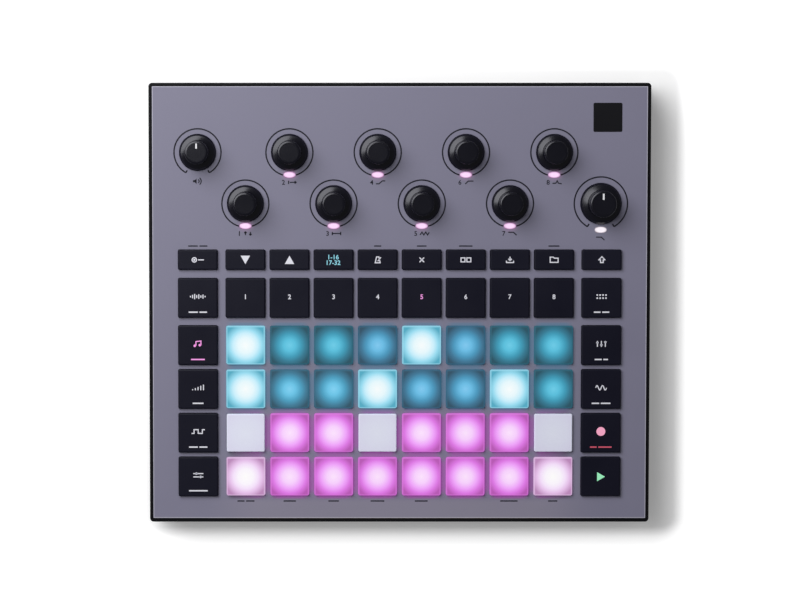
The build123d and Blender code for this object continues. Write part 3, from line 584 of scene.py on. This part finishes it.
lightLow = placeOf("light_pipes")[2]
flangeTop = panelTop - panelLook["thick"]
flangeLow = flangeTop - lightLook["flangeThick"]
lightProfile = [(0, lightLow), (0, flangeLow), (-lightLook["flange"], flangeLow),
                (-lightLook["flange"], flangeTop), (0, flangeTop)]
lightProfile += [(inset, panelTop - drop) for inset, drop in lightLook["crown"]]
lightShapes, lightFlats, lightPick = [], [], []
for knobName, place in lightPlaces.items():
    lens = loft(roundedRings(place, lightLook["size"], lightLook["size"][1] / 2, lightProfile, 8))
    lightShapes.append(lens)
    lightFlats.append((lens[0][:, :2] - place) / np.array(lightLook["size"]) * 2)
    lightPick.append(np.full(len(lens[2]), int(knobName == "filter_knob")))
lightFinishes = [lightFinish("pink"), lightFinish("white")]
lights = makePiece("light_lenses", joinShapes(lightShapes), "case", lightFinishes,
                   np.concatenate(lightPick), np.concatenate(lightFlats))
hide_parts("light_pipes")
print("lights:", len(lightShapes))

# Knobs. The fillet's centre is in shares of its radius from the flare's end, and the core is the inmost
# radius under the roof and on the top
knobLook = {"base": 31.6, "skirt": 1.5, "foot": 0.15, "edge": 0.15, "shoulder": 0.85, "flareRise": 0.65,
            "flareSag": 0.04, "fillet": 0.25, "filletCentre": (0.5, 0.866), "lean": 0.15,
            "round": (1.1, 0.5), "rim": 0.15, "recess": 0.12, "recessRings": (0.06, 0.5), "crown": 5.55,
            "filterCrown": 6.3, "brim": 0.1, "wall": 1.5, "roof": 0.5, "chamfer": 0.1, "hollow": 4.7,
            "hollowTop": 35.0, "core": (0.4, 0.15), "shaft": 3.0, "shaftInto": 0.2, "shaftSides": 32}


def knobProfile(radius, crown, top):
    # leaning skirt, a flare that sags under a straight line, a fillet, a leaning grip, a round crest and a
    # flat recess, as (radius, height) from the middle of the hollow to the middle of the top
    look = knobLook
    base, foot, edge, ease, rise = (look[name] for name in ("base", "foot", "edge", "fillet", "round"))
    hollow, hollowTop = look["hollow"], look["hollowTop"]
    roof, wall = base + look["skirt"] - look["roof"], radius - look["wall"]
    under = [(look["core"][0], hollowTop), (hollow, hollowTop), (hollow, roof), (wall, roof),
             (wall, base + look["chamfer"]), (wall + look["chamfer"], base), (radius - foot, base)]
    start = np.array([radius - look["shoulder"] - edge, base + look["skirt"]])
    skirt = np.concatenate([arc((radius - foot, base + foot), (foot, foot), -60, 0, 3),
                            arc(start - (0, edge), (edge, edge), 25, 70, 4)])
    end = np.array([crown + look["lean"] + ease / 2, start[1] + look["flareRise"]])
    share = np.linspace(0, 1, 14)[:, None]
    hang = np.array([start[1] - end[1], end[0] - start[0]]) / np.linalg.norm(end - start)
    flare = start + (end - start) * share + hang * look["flareSag"] * 4 * share * (1 - share)
    fillet = arc(end + np.multiply(look["filletCentre"], ease), (ease, ease), 230, 180, 5)
    crest = arc((crown - rise[0], top - rise[1]), rise, 0, 90, 12)
    inner, sunk = crown - rise[0] - look["rim"], top - look["recess"]
    flat = [(inner, top)] + [(inner - ring, sunk) for ring in look["recessRings"]]
    return np.concatenate([under, skirt, flare, fillet, crest, flat, [(look["core"][1], sunk)]])


pointerLook = {"sink": 0.02, "thick": 0.07,
               "volume_knob": {"from": 1.8, "to": 4.3, "width": 0.72},
               "filter_knob": {"from": 2.1, "to": 5.15, "width": 0.8}}
for knobName, (middle, size, low, top) in knobPlaces.items():
    crown = knobLook["filterCrown" if knobName == "filter_knob" else "crown"]
    cap = lathe(middle, knobProfile(size[0] / 2 + knobLook["brim"], crown, top))
    shaftEnds = [(knobLook["shaft"], z) for z in (low, knobLook["hollowTop"] + knobLook["shaftInto"])]
    shaft = lathe(middle, shaftEnds, knobLook["shaftSides"])
    pick = np.concatenate([np.zeros(len(cap[2]), int), np.ones(len(shaft[2]), int)])
    knob = makePiece(knobName + "_cap", joinShapes([cap, shaft]), knobName,
                     [finishes["knob"], finishes["rotary"]], pick)
    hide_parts(knobName)
    if knobName in pointerLook:
        look = pointerLook[knobName]
        ends = middle + [(0, look["from"]), (0, look["to"])]
        base = top - knobLook["recess"] - pointerLook["sink"]
        mark = ribbon(ends, look["width"], base, pointerLook["thick"])
        makePiece(knobName + "_pointer", mark, knobName, [finishes["pointer"]])
print("knobs:", len(knobPlaces))


# Keys, and what the pads' caps share with them
capLook = {"edge": 0.5, "wall": 1.5, "roof": 1.6, "flange": 0.7, "flangeThick": 1.0, "flangeUnder": 27.4,
           "faceRings": (0.2, 1.2), "plungerCorner": 0.4}
keyLook = {**capLook, "corner": 0.4, "size": 18.9, "shallow": 9.5, "deepFrom": 15.0, "plunger": 6.0,
           "plungerShallow": 3.6}


def capShape(place, size, top, low, look, plunger):
    # from the roof of the pocket down, out under the flange, up the wall, round the edge and over the top
    edge, wall, out = look["edge"], look["wall"], -look["flange"]
    roof, under, over = top - look["roof"], look["flangeUnder"], look["flangeUnder"] + look["flangeThick"]
    turn = np.radians(np.linspace(0, 90, 6))
    rounding = np.stack([edge * (1 - np.cos(turn)), top - edge * (1 - np.sin(turn))], -1)
    profile = np.concatenate([
        [(wall, roof), (wall, under), (out, under), (out, over), (0, over), (0, top - 2 * edge)],
        rounding, [(edge + ring, top) for ring in look["faceRings"]]])
    cap = loft(roundedRings(place, size, look["corner"], profile))
    stem = loft(roundedRings(place, plunger, look["plungerCorner"], [(0, low), (0, roof)], 2))
    return joinShapes([cap, stem])


keyNames = [name for name in nodes if name.endswith("_key")]
keyPlaces = {}
for keyName in keyNames:
    middle, size, low, top = placeOf(keyName)
    deep = size[1] > keyLook["deepFrom"]
    capSize = (keyLook["size"], keyLook["size" if deep else "shallow"])
    plunger = (keyLook["plunger"], keyLook["plunger" if deep else "plungerShallow"])
    keyPlaces[keyName] = (middle, top, deep)
    cap = makePiece(keyName + "_cap", capShape(middle, capSize, top, low, keyLook, plunger), keyName,
                    [finishes["key"]])
    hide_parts(keyName)
print("keys:", len(keyNames))

# Pads: glow by the distance from the pad's middle, in half widths
padLook = {**capLook, "corner": 0.75, "size": 18.3, "plunger": 10.0, "glow": 0.9, "body": 0.1}
padRows = ["bright teal teal blue bright blue teal teal",
           "bright sea sea bright blue blue bright teal",
           "unlit pink pink unlit pink pink pink unlit",
           "blush pink pink pink pink pink pink blush"]
dimStops = [(0.0, (0.21, 0.60, 0.85)), (0.3, (0.14, 0.52, 0.76)), (0.6, (0.07, 0.33, 0.51)),
            (0.85, (0.05, 0.19, 0.30)), (1.15, (0.03, 0.085, 0.13))]
padGlow = {
    "bright": {"stops": [(0.0, (0.94, 0.98, 0.98)), (0.4, (0.80, 0.94, 0.98)), (0.65, (0.58, 0.86, 0.97)),
                         (0.85, (0.32, 0.72, 0.88)), (1.15, (0.09, 0.40, 0.54))],
               "rim": (0.37, 0.75, 0.90)},
    "teal": {"stops": dimStops, "tint": (0.72, 1.0, 0.94), "rim": (0.03, 0.14, 0.20)},
    "sea": {"stops": dimStops, "tint": (1.03, 1.05, 1.04), "rim": (0.04, 0.15, 0.23)},
    "blue": {"stops": dimStops, "tint": (1.03, 0.97, 1.02), "rim": (0.04, 0.14, 0.23)},
    "pink": {"stops": [(0.0, (0.98, 0.77, 0.99)), (0.35, (0.94, 0.64, 0.99)), (0.65, (0.87, 0.37, 0.96)),
                       (0.88, (0.73, 0.19, 0.78)), (1.15, (0.48, 0.10, 0.46))],
             "rim": (0.74, 0.21, 0.75)},
    "blush": {"stops": [(0.0, (0.99, 0.98, 0.97)), (0.4, (0.96, 0.91, 0.98)), (0.65, (0.91, 0.75, 0.96)),
                        (0.85, (0.80, 0.54, 0.83)), (1.15, (0.50, 0.25, 0.49))],
              "rim": (0.80, 0.58, 0.83)},
    # the unlit pads still glow a little: painted light that brightens them
    "unlit": {"stops": [(0.0, (0.75, 0.77, 0.89)), (0.7, (0.73, 0.74, 0.88)), (1.15, (0.71, 0.70, 0.86))],
              "rim": (0.76, 0.79, 0.93), "glow": 0.09, "body": 0.95},
}


def padFinish(name, look):
    # the spread picks the glow, a rim line follows the square edge, and the silicone drifts a little
    glow, body = (look.get(share, padLook[share]) for share in ("glow", "body"))
    material, tree, shader = startMaterial("pad_" + name, {"Emission Strength": glow, **matt})
    edge, ramp = spreadRamp(tree, look["stops"], look.get("tint", (1, 1, 1)))
    silicone = {"Colour": addMix(tree, edge, ramp, look["rim"]), "Drift": 0.05, "Grain Scale": 1800.0,
                "Smooth": 0.44, "Rough": 0.54}
    _, effect = addEffect(tree, grainGroup, silicone)
    addRelief(tree, shader, effect, 0.06)
    feed(tree, shader, {"Base Color": addScaled(tree, effect["Colour"], body),
                        "Emission Color": effect["Colour"]})
    return material


padFinishes = {name: padFinish(name, look) for name, look in padGlow.items()}
padGrid = [row.split() for row in padRows]
padSize = np.array([padLook["size"]] * 2)
padPlaces = []
for column in range(padCounts[0]):
    padNode = f"pad_column_{column + 1}"
    middle, _, low, top = placeOf(padNode)
    places = [middle + (0, padPitch * ((padCounts[1] - 1) / 2 - row)) for row in range(padCounts[1])]
    padPlaces += places
    shapes = [capShape(place, padSize, top, low, padLook, [padLook["plunger"]] * 2) for place in places]
    flats = [(shape[0][:, :2] - place) / padSize * 2 for shape, place in zip(shapes, places)]
    pick = np.concatenate([np.full(len(shape[2]), i) for i, shape in enumerate(shapes)])
    looks = [padFinishes[row[column]] for row in padGrid]
    pads = makePiece(padNode + "_caps", joinShapes(shapes), padNode, looks, pick,
                     np.concatenate(flats))
    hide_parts(padNode)
print("pads:", len(padPlaces), "in", padCounts[0], "columns")

# Broken edge of each opening: a thin lip inside it that leaves a fine gap to the key or pad
lipLook = {"width": 0.2, "keyWidth": 0.15, "thick": 0.35, "chamfer": 0.06, "overlap": 0.02, "drop": 0.01,
           "keyOpening": 19.5, "shallowOpening": 10.1, "keyCorner": 0.9, "padOpening": 19.1,
           "padCorner": 1.1}
lipTop, lipLow = panelTop - lipLook["drop"], panelTop - lipLook["thick"]
openings = [(place, (lipLook["keyOpening"], lipLook["keyOpening" if deep else "shallowOpening"]),
             lipLook["keyCorner"], lipLook["keyWidth"]) for place, top, deep in keyPlaces.values()]
openings += [(place, (lipLook["padOpening"],) * 2, lipLook["padCorner"], lipLook["width"])
             for place in padPlaces]
lips = []
for place, size, corner, width in openings:
    lipProfile = [(-lipLook["overlap"], lipLow), (-lipLook["overlap"], lipTop),
                  (width - lipLook["chamfer"], lipTop), (width, lipTop - lipLook["chamfer"]),
                  (width, lipLow)]
    lips.append(loft(roundedRings(place, size, corner, lipProfile), True))
makePiece("opening_lips", joinShapes(lips), "case", [finishes["panel"]])
print("opening lips:", len(lips))

# Marks on the keys and the panel, in mm round a mark's middle: open lines, closed loops, dots and filled
# outlines
swayX = np.linspace(-2.6, 2.6, 40)
waveHeights = (0.7, 1.6, 2.5, 1.4, 2.2, 1.1, 1.9, 0.7)
faderLevels = (0.6, -0.5, 0.9)
box = np.array([(-0.95, -0.95), (0.95, -0.95), (0.95, 0.95), (-0.95, 0.95)])
marks = {
    "down": {"fills": [[(0, -2), (2.25, 2), (-2.25, 2)]]},
    "up": {"fills": [[(0, 2), (-2.25, -2), (2.25, -2)]]},
    "play": {"fills": [[(2.1, 0), (-1.7, 2.2), (-1.7, -2.2)]]},
    "disc": {"dots": (2.15, [(0, 0)])},
    "wave": {"lines": [[(i - 3.5, -tall / 2), (i - 3.5, tall / 2)] for i, tall in enumerate(waveHeights)]},
    "ring": {"loops": [circle((-1.6, 0), 1.05)], "dots": (0.5, [(-1.6, 0)]), "lines": [[(0.2, 0), (3, 0)]]},
    "note": {"dots": (0.62, [(-1.5, -0.9), (0.9, -0.6)]),
             "lines": [[(-0.95, -0.9), (-0.95, 1.1), (1.45, 1.4), (1.45, -0.6)]]},
    "rise": {"lines": [[(1.3 * i - 2.6, -1.2), (1.3 * i - 2.6, 0.55 * i - 0.7)] for i in range(5)]},
    "pulse": {"lines": [[(-3.2, -0.9), (-2, -0.9), (-2, 0.9), (0, 0.9),
                         (0, -0.9), (2, -0.9), (2, 0.9), (3.2, 0.9)]]},
    "grid": {"dots": (0.42, [(1.4 * i - 2.1, 1.5 * j - 0.75) for i in range(4) for j in range(2)])},
    "sliders": {"lines": [[(-2.4, 0.8), (2.4, 0.8)], [(-2.4, -0.8), (2.4, -0.8)]],
                "dots": (0.6, [(-0.9, 0.8), (1.1, -0.8)])},
    "faders": {"lines": [[(1.9 * i - 1.9, -1.4), (1.9 * i - 1.9, 1.4)] for i in range(3)]
               + [[(1.9 * i - 2.5, level), (1.9 * i - 1.3, level)] for i, level in enumerate(faderLevels)]},
    "sway": {"lines": [np.stack([swayX, 1.05 * np.sin(2.4 * swayX)], -1)]},
    "cross": {"lines": [[(-1.1, -1.1), (1.1, 1.1)], [(-1.1, 1.1), (1.1, -1.1)]]},
    "pair": {"loops": [box + (-1.4, 0), box + (1.4, 0)]},
    "tray": {"lines": [[(0, 1.5), (0, -0.3)], [(-0.8, 0.5), (0, -0.4), (0.8, 0.5)],
                       [(-1.7, -0.4), (-1.7, -1.3), (1.7, -1.3), (1.7, -0.4)]]},
    "folder": {"loops": [[(-1.9, -1.2), (1.9, -1.2), (1.9, 0.8), (0.1, 0.8), (-0.4, 1.3), (-1.9, 1.3)]]},
    "arrow": {"loops": [[(0, 1.5), (-1.5, 0), (-0.65, 0), (-0.65, -1.3),
                         (0.65, -1.3), (0.65, 0), (1.5, 0)]]},
    "beat": {"loops": [[(-1.2, -1.4), (1.2, -1.4), (0.55, 1.4), (-0.55, 1.4)]],
             "lines": [[(0, -0.7), (1.5, 1.2)]]},
    "slope": {"lines": [[(-2.2, -0.7), (-0.8, -0.7), (0.8, 0.7), (2.2, 0.7)]]},
    "start": {"lines": [[(-1.8, -0.8), (-1.8, 0.8)], [(-1.2, 0), (1.8, 0)],
                        [(1.1, 0.6), (1.8, 0), (1.1, -0.6)]]},
    "span": {"lines": [[(-2, -0.8), (-2, 0.8)], [(-2, 0), (2, 0)], [(2, -0.8), (2, 0.8)]]},
    "bend": {"lines": [[(-2.2, -0.7), (-1.3, 0.7), (-0.4, -0.7), (0.5, 0.7), (1.4, -0.7), (2.2, 0.6)]]},
    "cutLow": {"lines": [[(-2.2, 0.6), (0.3, 0.6), (1.8, -0.8)]]},
    "cutHigh": {"lines": [[(2.2, 0.6), (-0.3, 0.6), (-1.8, -0.8)]]},
    "peak": {"lines": [[(-2.2, -0.5), (-0.6, -0.4), (0, 0.8), (0.6, -0.4), (2.2, -0.7)]]},
    "tune": {"lines": [[(-1.4, -0.8), (-1.4, 0.8)], [(-2, 0.2), (-1.4, 0.8), (-0.8, 0.2)],
                       [(1, 0.8), (1, -0.8)], [(0.4, -0.2), (1, -0.8), (1.6, -0.2)]]},
    "speaker": {"fills": [[(-2.2, -0.5), (-1.4, -0.5), (-0.5, -1.3), (-0.5, 1.3), (-1.4, 0.5), (-2.2, 0.5)]],
                "lines": [arc((-0.4, 0), (1.1, 1.1), -50, 50, 10), arc((-0.4, 0), (2.1, 2.1), -50, 50, 14)]},
}


def dashes(lengths, gap=0.8):
    # short strokes one after another, centred together
    ends = np.cumsum(np.array(lengths) + gap) - gap
    half = ends[-1] / 2
    return [[(end - length - half, 0), (end - half, 0)] for length, end in zip(lengths, ends)]


def markShapes(what, place, base, look):
    # a tuple gives dashes of those lengths, a known name its drawing, and any other text plain figures
    thick, width = look["thick"], look["line"]
    if isinstance(what, tuple):
        mark, width = {"lines": dashes(what)}, look["dash"]
    elif what in marks:
        mark = marks[what]
    else:
        return [figures(what, look["figure"], place, base, thick)]
    radius, spots = mark.get("dots", (0, []))
    shapes = [ribbon(place + path, width, base, thick) for path in mark.get("lines", [])]
    shapes += [ribbon(place + path, width, base, thick, True) for path in mark.get("loops", [])]
    shapes += [plate(circle(place + spot, radius), base, thick) for spot in spots]
    shapes += [plate(place + outline, base, thick) for outline in mark.get("fills", [])]
    return shapes


# Key signs: what is drawn, how far above the key's middle, and its tint; a tint is a colour and its glow
legendLook = {"thick": 0.05, "sink": 0.02, "line": 0.5, "dash": 0.65, "figure": 2.3}
legendTint = {"white": ((0.66, 0.66, 0.73), 0.10), "pink": ((0.68, 0.24, 0.58), 0.40),
              "cyan": ((0.20, 0.50, 0.60), 0.36), "red": ((0.44, 0.06, 0.10), 0.45),
              "rose": ((0.68, 0.28, 0.41), 0.50), "green": ((0.23, 0.60, 0.36), 0.55)}
keyLegends = {
    "rec_sample_key": [("ring", 0, "white")], "down_key": [("down", 0, "white")],
    "up_key": [("up", 0, "white")], "page_key": [("1-16", 1.35, "cyan"), ("17-32", -1.35, "cyan")],
    "tempo_key": [("beat", 0, "white")], "clear_key": [("cross", 0, "white")],
    "duplicate_key": [("pair", 0, "white")], "save_key": [("tray", 0, "white")],
    "project_key": [("folder", 0, "white")], "shift_key": [("arrow", 0, "white")],
    "sample_key": [("wave", 0.7, "white"), ((4.4, 3.6), -6.8, "white")],
    "pattern_key": [("grid", 0.7, "white"), ((3.2, 3.4), -6.8, "white")],
    "note_key": [("note", 0.7, "pink"), ((6.6,), -6.8, "pink")],
    "velocity_key": [("rise", 0.7, "white"), ((5.2,), -6.8, "white")],
    "gate_key": [("pulse", 0.7, "white"), ((4.2, 3.8), -6.8, "white")],
    "settings_key": [("sliders", 0.7, "white"), ((9.0,), -6.8, "white")],
    "mixer_key": [("faders", 0.7, "white"), ((3.4, 2.2), -6.8, "white")],
    "effects_key": [("sway", 0.7, "white"), ((3.6, 4.6), -6.8, "white")],
    "record_key": [("disc", 0.75, "rose"), ((3.2, 6.4), -6.8, "red")],
    "play_key": [("play", 0, "green")],
}
keyLegends.update({f"track_{i}_key": [(str(i), 0.6, "pink" if i == 5 else "white")] for i in range(1, 9)})


def legendFinish(name, colour, glow):
    # printed translucent ink, lit from below: fine noise thins the ink and with it the glow
    material, tree, shader, _, effect = moulded(
        "legend_" + name, colour, 0.12, 2600.0, 0.42, 0.52, 0.03, {"Emission Strength": glow})
    feed(tree, shader, {"Emission Color": effect["Colour"]})
    return material


legendFinishes = {name: legendFinish(name, *look) for name, look in legendTint.items()}
for keyName, legends in keyLegends.items():
    middle, top, _ = keyPlaces[keyName]
    tints = sorted({tint for what, rise, tint in legends})
    shapes, pick = [], []
    for what, rise, tint in legends:
        made = markShapes(what, middle + (0, rise), top - legendLook["sink"], legendLook)
        shapes += made
        pick += [np.full(len(shape[2]), tints.index(tint)) for shape in made]
    makePiece(keyName + "_legend", joinShapes(shapes), keyName,
              [legendFinishes[tint] for tint in tints], np.concatenate(pick))
print("key legends:", len(keyLegends))

# Dark print on the panel: a ring round each knob, open at its light or at its scale's ends, and marks by
# the controls
printLook = {"thick": 0.04, "sink": 0.015, "line": 0.52, "dash": 0.6, "figure": 2.3, "ring": 0.68,
             "ringGap": 2.5, "filterGap": 2.9, "ringStart": -74, "scaleStart": -60, "ringSteps": 90,
             "tickEnd": 0.88, "labelDrop": 14.35, "numberShift": (-2.9, 0), "signShift": (1.4, 0),
             "volumeDrop": 13.8, "filterDrop": 16.7, "rowRise": 6.55, "padDrop": 12.0}
knobMarks = ("tune", "start", "span", "slope", "bend", "cutHigh", "cutLow", "peak")
rowMarks = {"rec_sample_key": (4.6, 3.8), "tempo_key": (3.4,), "clear_key": (4.6,), "duplicate_key": (6.4,),
            "project_key": (5.2,)}
padMarks = {1: (3.4, 4), 2: (6,), 3: (5,), 4: (6.6,), 5: (6.2,), 7: (8.4,), 8: (4.4,)}
printLines, printMarks = [], []
for knobName, (middle, size, low, top) in knobPlaces.items():
    isFilter, isEncoder = knobName == "filter_knob", knobName.startswith("encoder")
    radius = size[0] / 2 + printLook["filterGap" if isFilter else "ringGap"]
    start = printLook["ringStart" if isEncoder else "scaleStart"]
    ring = arc(middle, (radius, radius), start, 180 - start, printLook["ringSteps"])
    printLines.append(ring)
    if isEncoder:
        number = int(knobName[-1])
        label = middle - (0, printLook["labelDrop"])
        printMarks.append((str(number), label + printLook["numberShift"]))
        printMarks.append((knobMarks[number - 1], label + printLook["signShift"]))
    else:
        printLines += [[end, middle + (end - middle) * printLook["tickEnd"]] for end in ring[[0, -1]]]
        drop = printLook["filterDrop" if isFilter else "volumeDrop"]
        printMarks.append(("cutLow" if isFilter else "speaker", middle - (0, drop)))
for keyName, lengths in rowMarks.items():
    printMarks.append((lengths, keyPlaces[keyName][0] + (0, printLook["rowRise"])))
for column, lengths in padMarks.items():
    frontPad = padPlaces[padCounts[1] * column - 1]
    printMarks.append((lengths, frontPad - (0, printLook["padDrop"])))
printBase = panelTop - printLook["sink"]
printShapes = [ribbon(path, printLook["ring"], printBase, printLook["thick"]) for path in printLines]
for what, place in printMarks:
    printShapes += markShapes(what, place, printBase, printLook)
makePiece("panel_print", joinShapes(printShapes), "case", [finishes["ink"]])

plateLook = {"middle": (99.5, 89.1), "size": (13.8, 13.9), "corner": 0.7, "rise": 0.12, "sink": 0.05,
             "edge": 0.05, "faceRing": 0.4}
plateTop = panelTop + plateLook["rise"]
plateProfile = [(0, panelTop - plateLook["sink"]), (0, plateTop - plateLook["edge"]),
                (plateLook["edge"], plateTop), (plateLook["faceRing"], plateTop)]
cornerPlate = loft(roundedRings(plateLook["middle"], plateLook["size"], plateLook["corner"], plateProfile))
makePiece("corner_plate", cornerPlate, "case", [finishes["plate"]])
print("panel print and corner plate")

# Floor, light and camera
# the floor's lift to white grows with the distance from a box shifted and grown from the case: painted shade
# that shapes the case's shadow
studio = {"floor": (0.86, 0.86, 0.865), "floorHalf": 4.0, "sky": 0.18,
          "lampPlace": (-0.42, 0.425, 0.75), "lampSize": 0.87, "lampPower": 9.8,
          "shadowShift": (6.2, -0.5), "shadowGrow": (2.8, 0.0), "shadowReach": 60.0,
          "lift": [(0.0, 0.19), (6.5, 0.24), (8.5, 0.37), (11.6, 0.60), (17.0, 0.76)]}


def floorFinish():
    # pale matt paper; what the camera or a mirror sees of it is lifted towards white with the distance from
    # the case, so painted shade keeps the floor darker near the case and shapes its shadow. From below it is
    # see-through, so the underside can be looked at
    material, tree, shader, where, _ = moulded(
        "floorPaper", studio["floor"], 0.01, 400.0, 0.8, 0.9, 0.02, {"Emission Color": (1, 1, 1)})
    half = (np.array(cadBox[1]) - cadBox[0])[:2] / 2 + np.multiply(studio["shadowGrow"], mm)
    local = addVector(tree, "SUBTRACT", where, (*np.multiply(studio["shadowShift"], mm), 0))
    beyond = addVector(tree, "SUBTRACT", addVector(tree, "ABSOLUTE", local), (*half, 0))
    far = addVector(tree, "LENGTH", addVector(tree, "MAXIMUM", beyond, (0, 0, 0)))
    reach = studio["shadowReach"]
    stops = [(distance / reach, (level, level, level)) for distance, level in studio["lift"]]
    ramp = addRamp(tree, addMath(tree, "DIVIDE", far, reach * mm), stops)
    rays = addNode(tree, "LightPath").outputs
    seen = addMath(tree, "MAXIMUM", rays["Is Camera Ray"], rays["Is Glossy Ray"])
    through = addMath(tree, "MAXIMUM", seen, rays["Is Transmission Ray"])
    behind = addNode(tree, "NewGeometry").outputs["Backfacing"]
    feed(tree, shader, {"Emission Strength": addMath(tree, "MULTIPLY", through, ramp),
                        "Alpha": addMath(tree, "SUBTRACT", 1.0, behind)})
    return material


floorHalf = studio["floorHalf"]
floorCorners = [(x * floorHalf, y * floorHalf, 0) for x, y in ((-1, -1), (1, -1), (1, 1), (-1, 1))]
floorMesh = bpy.data.meshes.new("floor")
floorMesh.from_pydata(floorCorners, [], [(0, 1, 2, 3)])
floorMesh.materials.append(floorFinish())
floor = addObject("floor", floorMesh)

sky = bpy.data.worlds.new("studioSky")
sky.use_nodes = True
sky.node_tree.nodes["Background"].inputs["Color"].default_value = (1, 1, 1, 1)
sky.node_tree.nodes["Background"].inputs["Strength"].default_value = studio["sky"]
bpy.context.scene.world = sky

lampData = bpy.data.lights.new("softbox", "AREA")
lampData.shape = "DISK"
lampData.size = studio["lampSize"]
lampData.energy = studio["lampPower"]
lamp = addObject("softbox", lampData)
lampX, lampY, lampZ = studio["lampPlace"]
lampTilt = math.atan2(math.hypot(lampX, lampY), lampZ)
lamp.location = studio["lampPlace"]
lamp.rotation_euler = (lampTilt, 0, math.atan2(lampY, lampX) + math.pi / 2)
lamp.visible_camera = False

view = {"place": (-0.02862, 0.0792, 1.331), "tilt": 3.416, "lens": 122.07, "sensor": 36, "shift": 0.075}
cameraData = bpy.data.cameras.new("camera")
cameraData.lens = view["lens"]
cameraData.sensor_width = view["sensor"]
cameraData.shift_x = view["shift"]
camera = addObject("camera", cameraData)
camera.location = view["place"]
camera.rotation_euler = (math.radians(-view["tilt"]), 0, 0)
bpy.context.scene.camera = camera
bpy.context.scene.view_settings.view_transform = "Standard"
print("studio set")
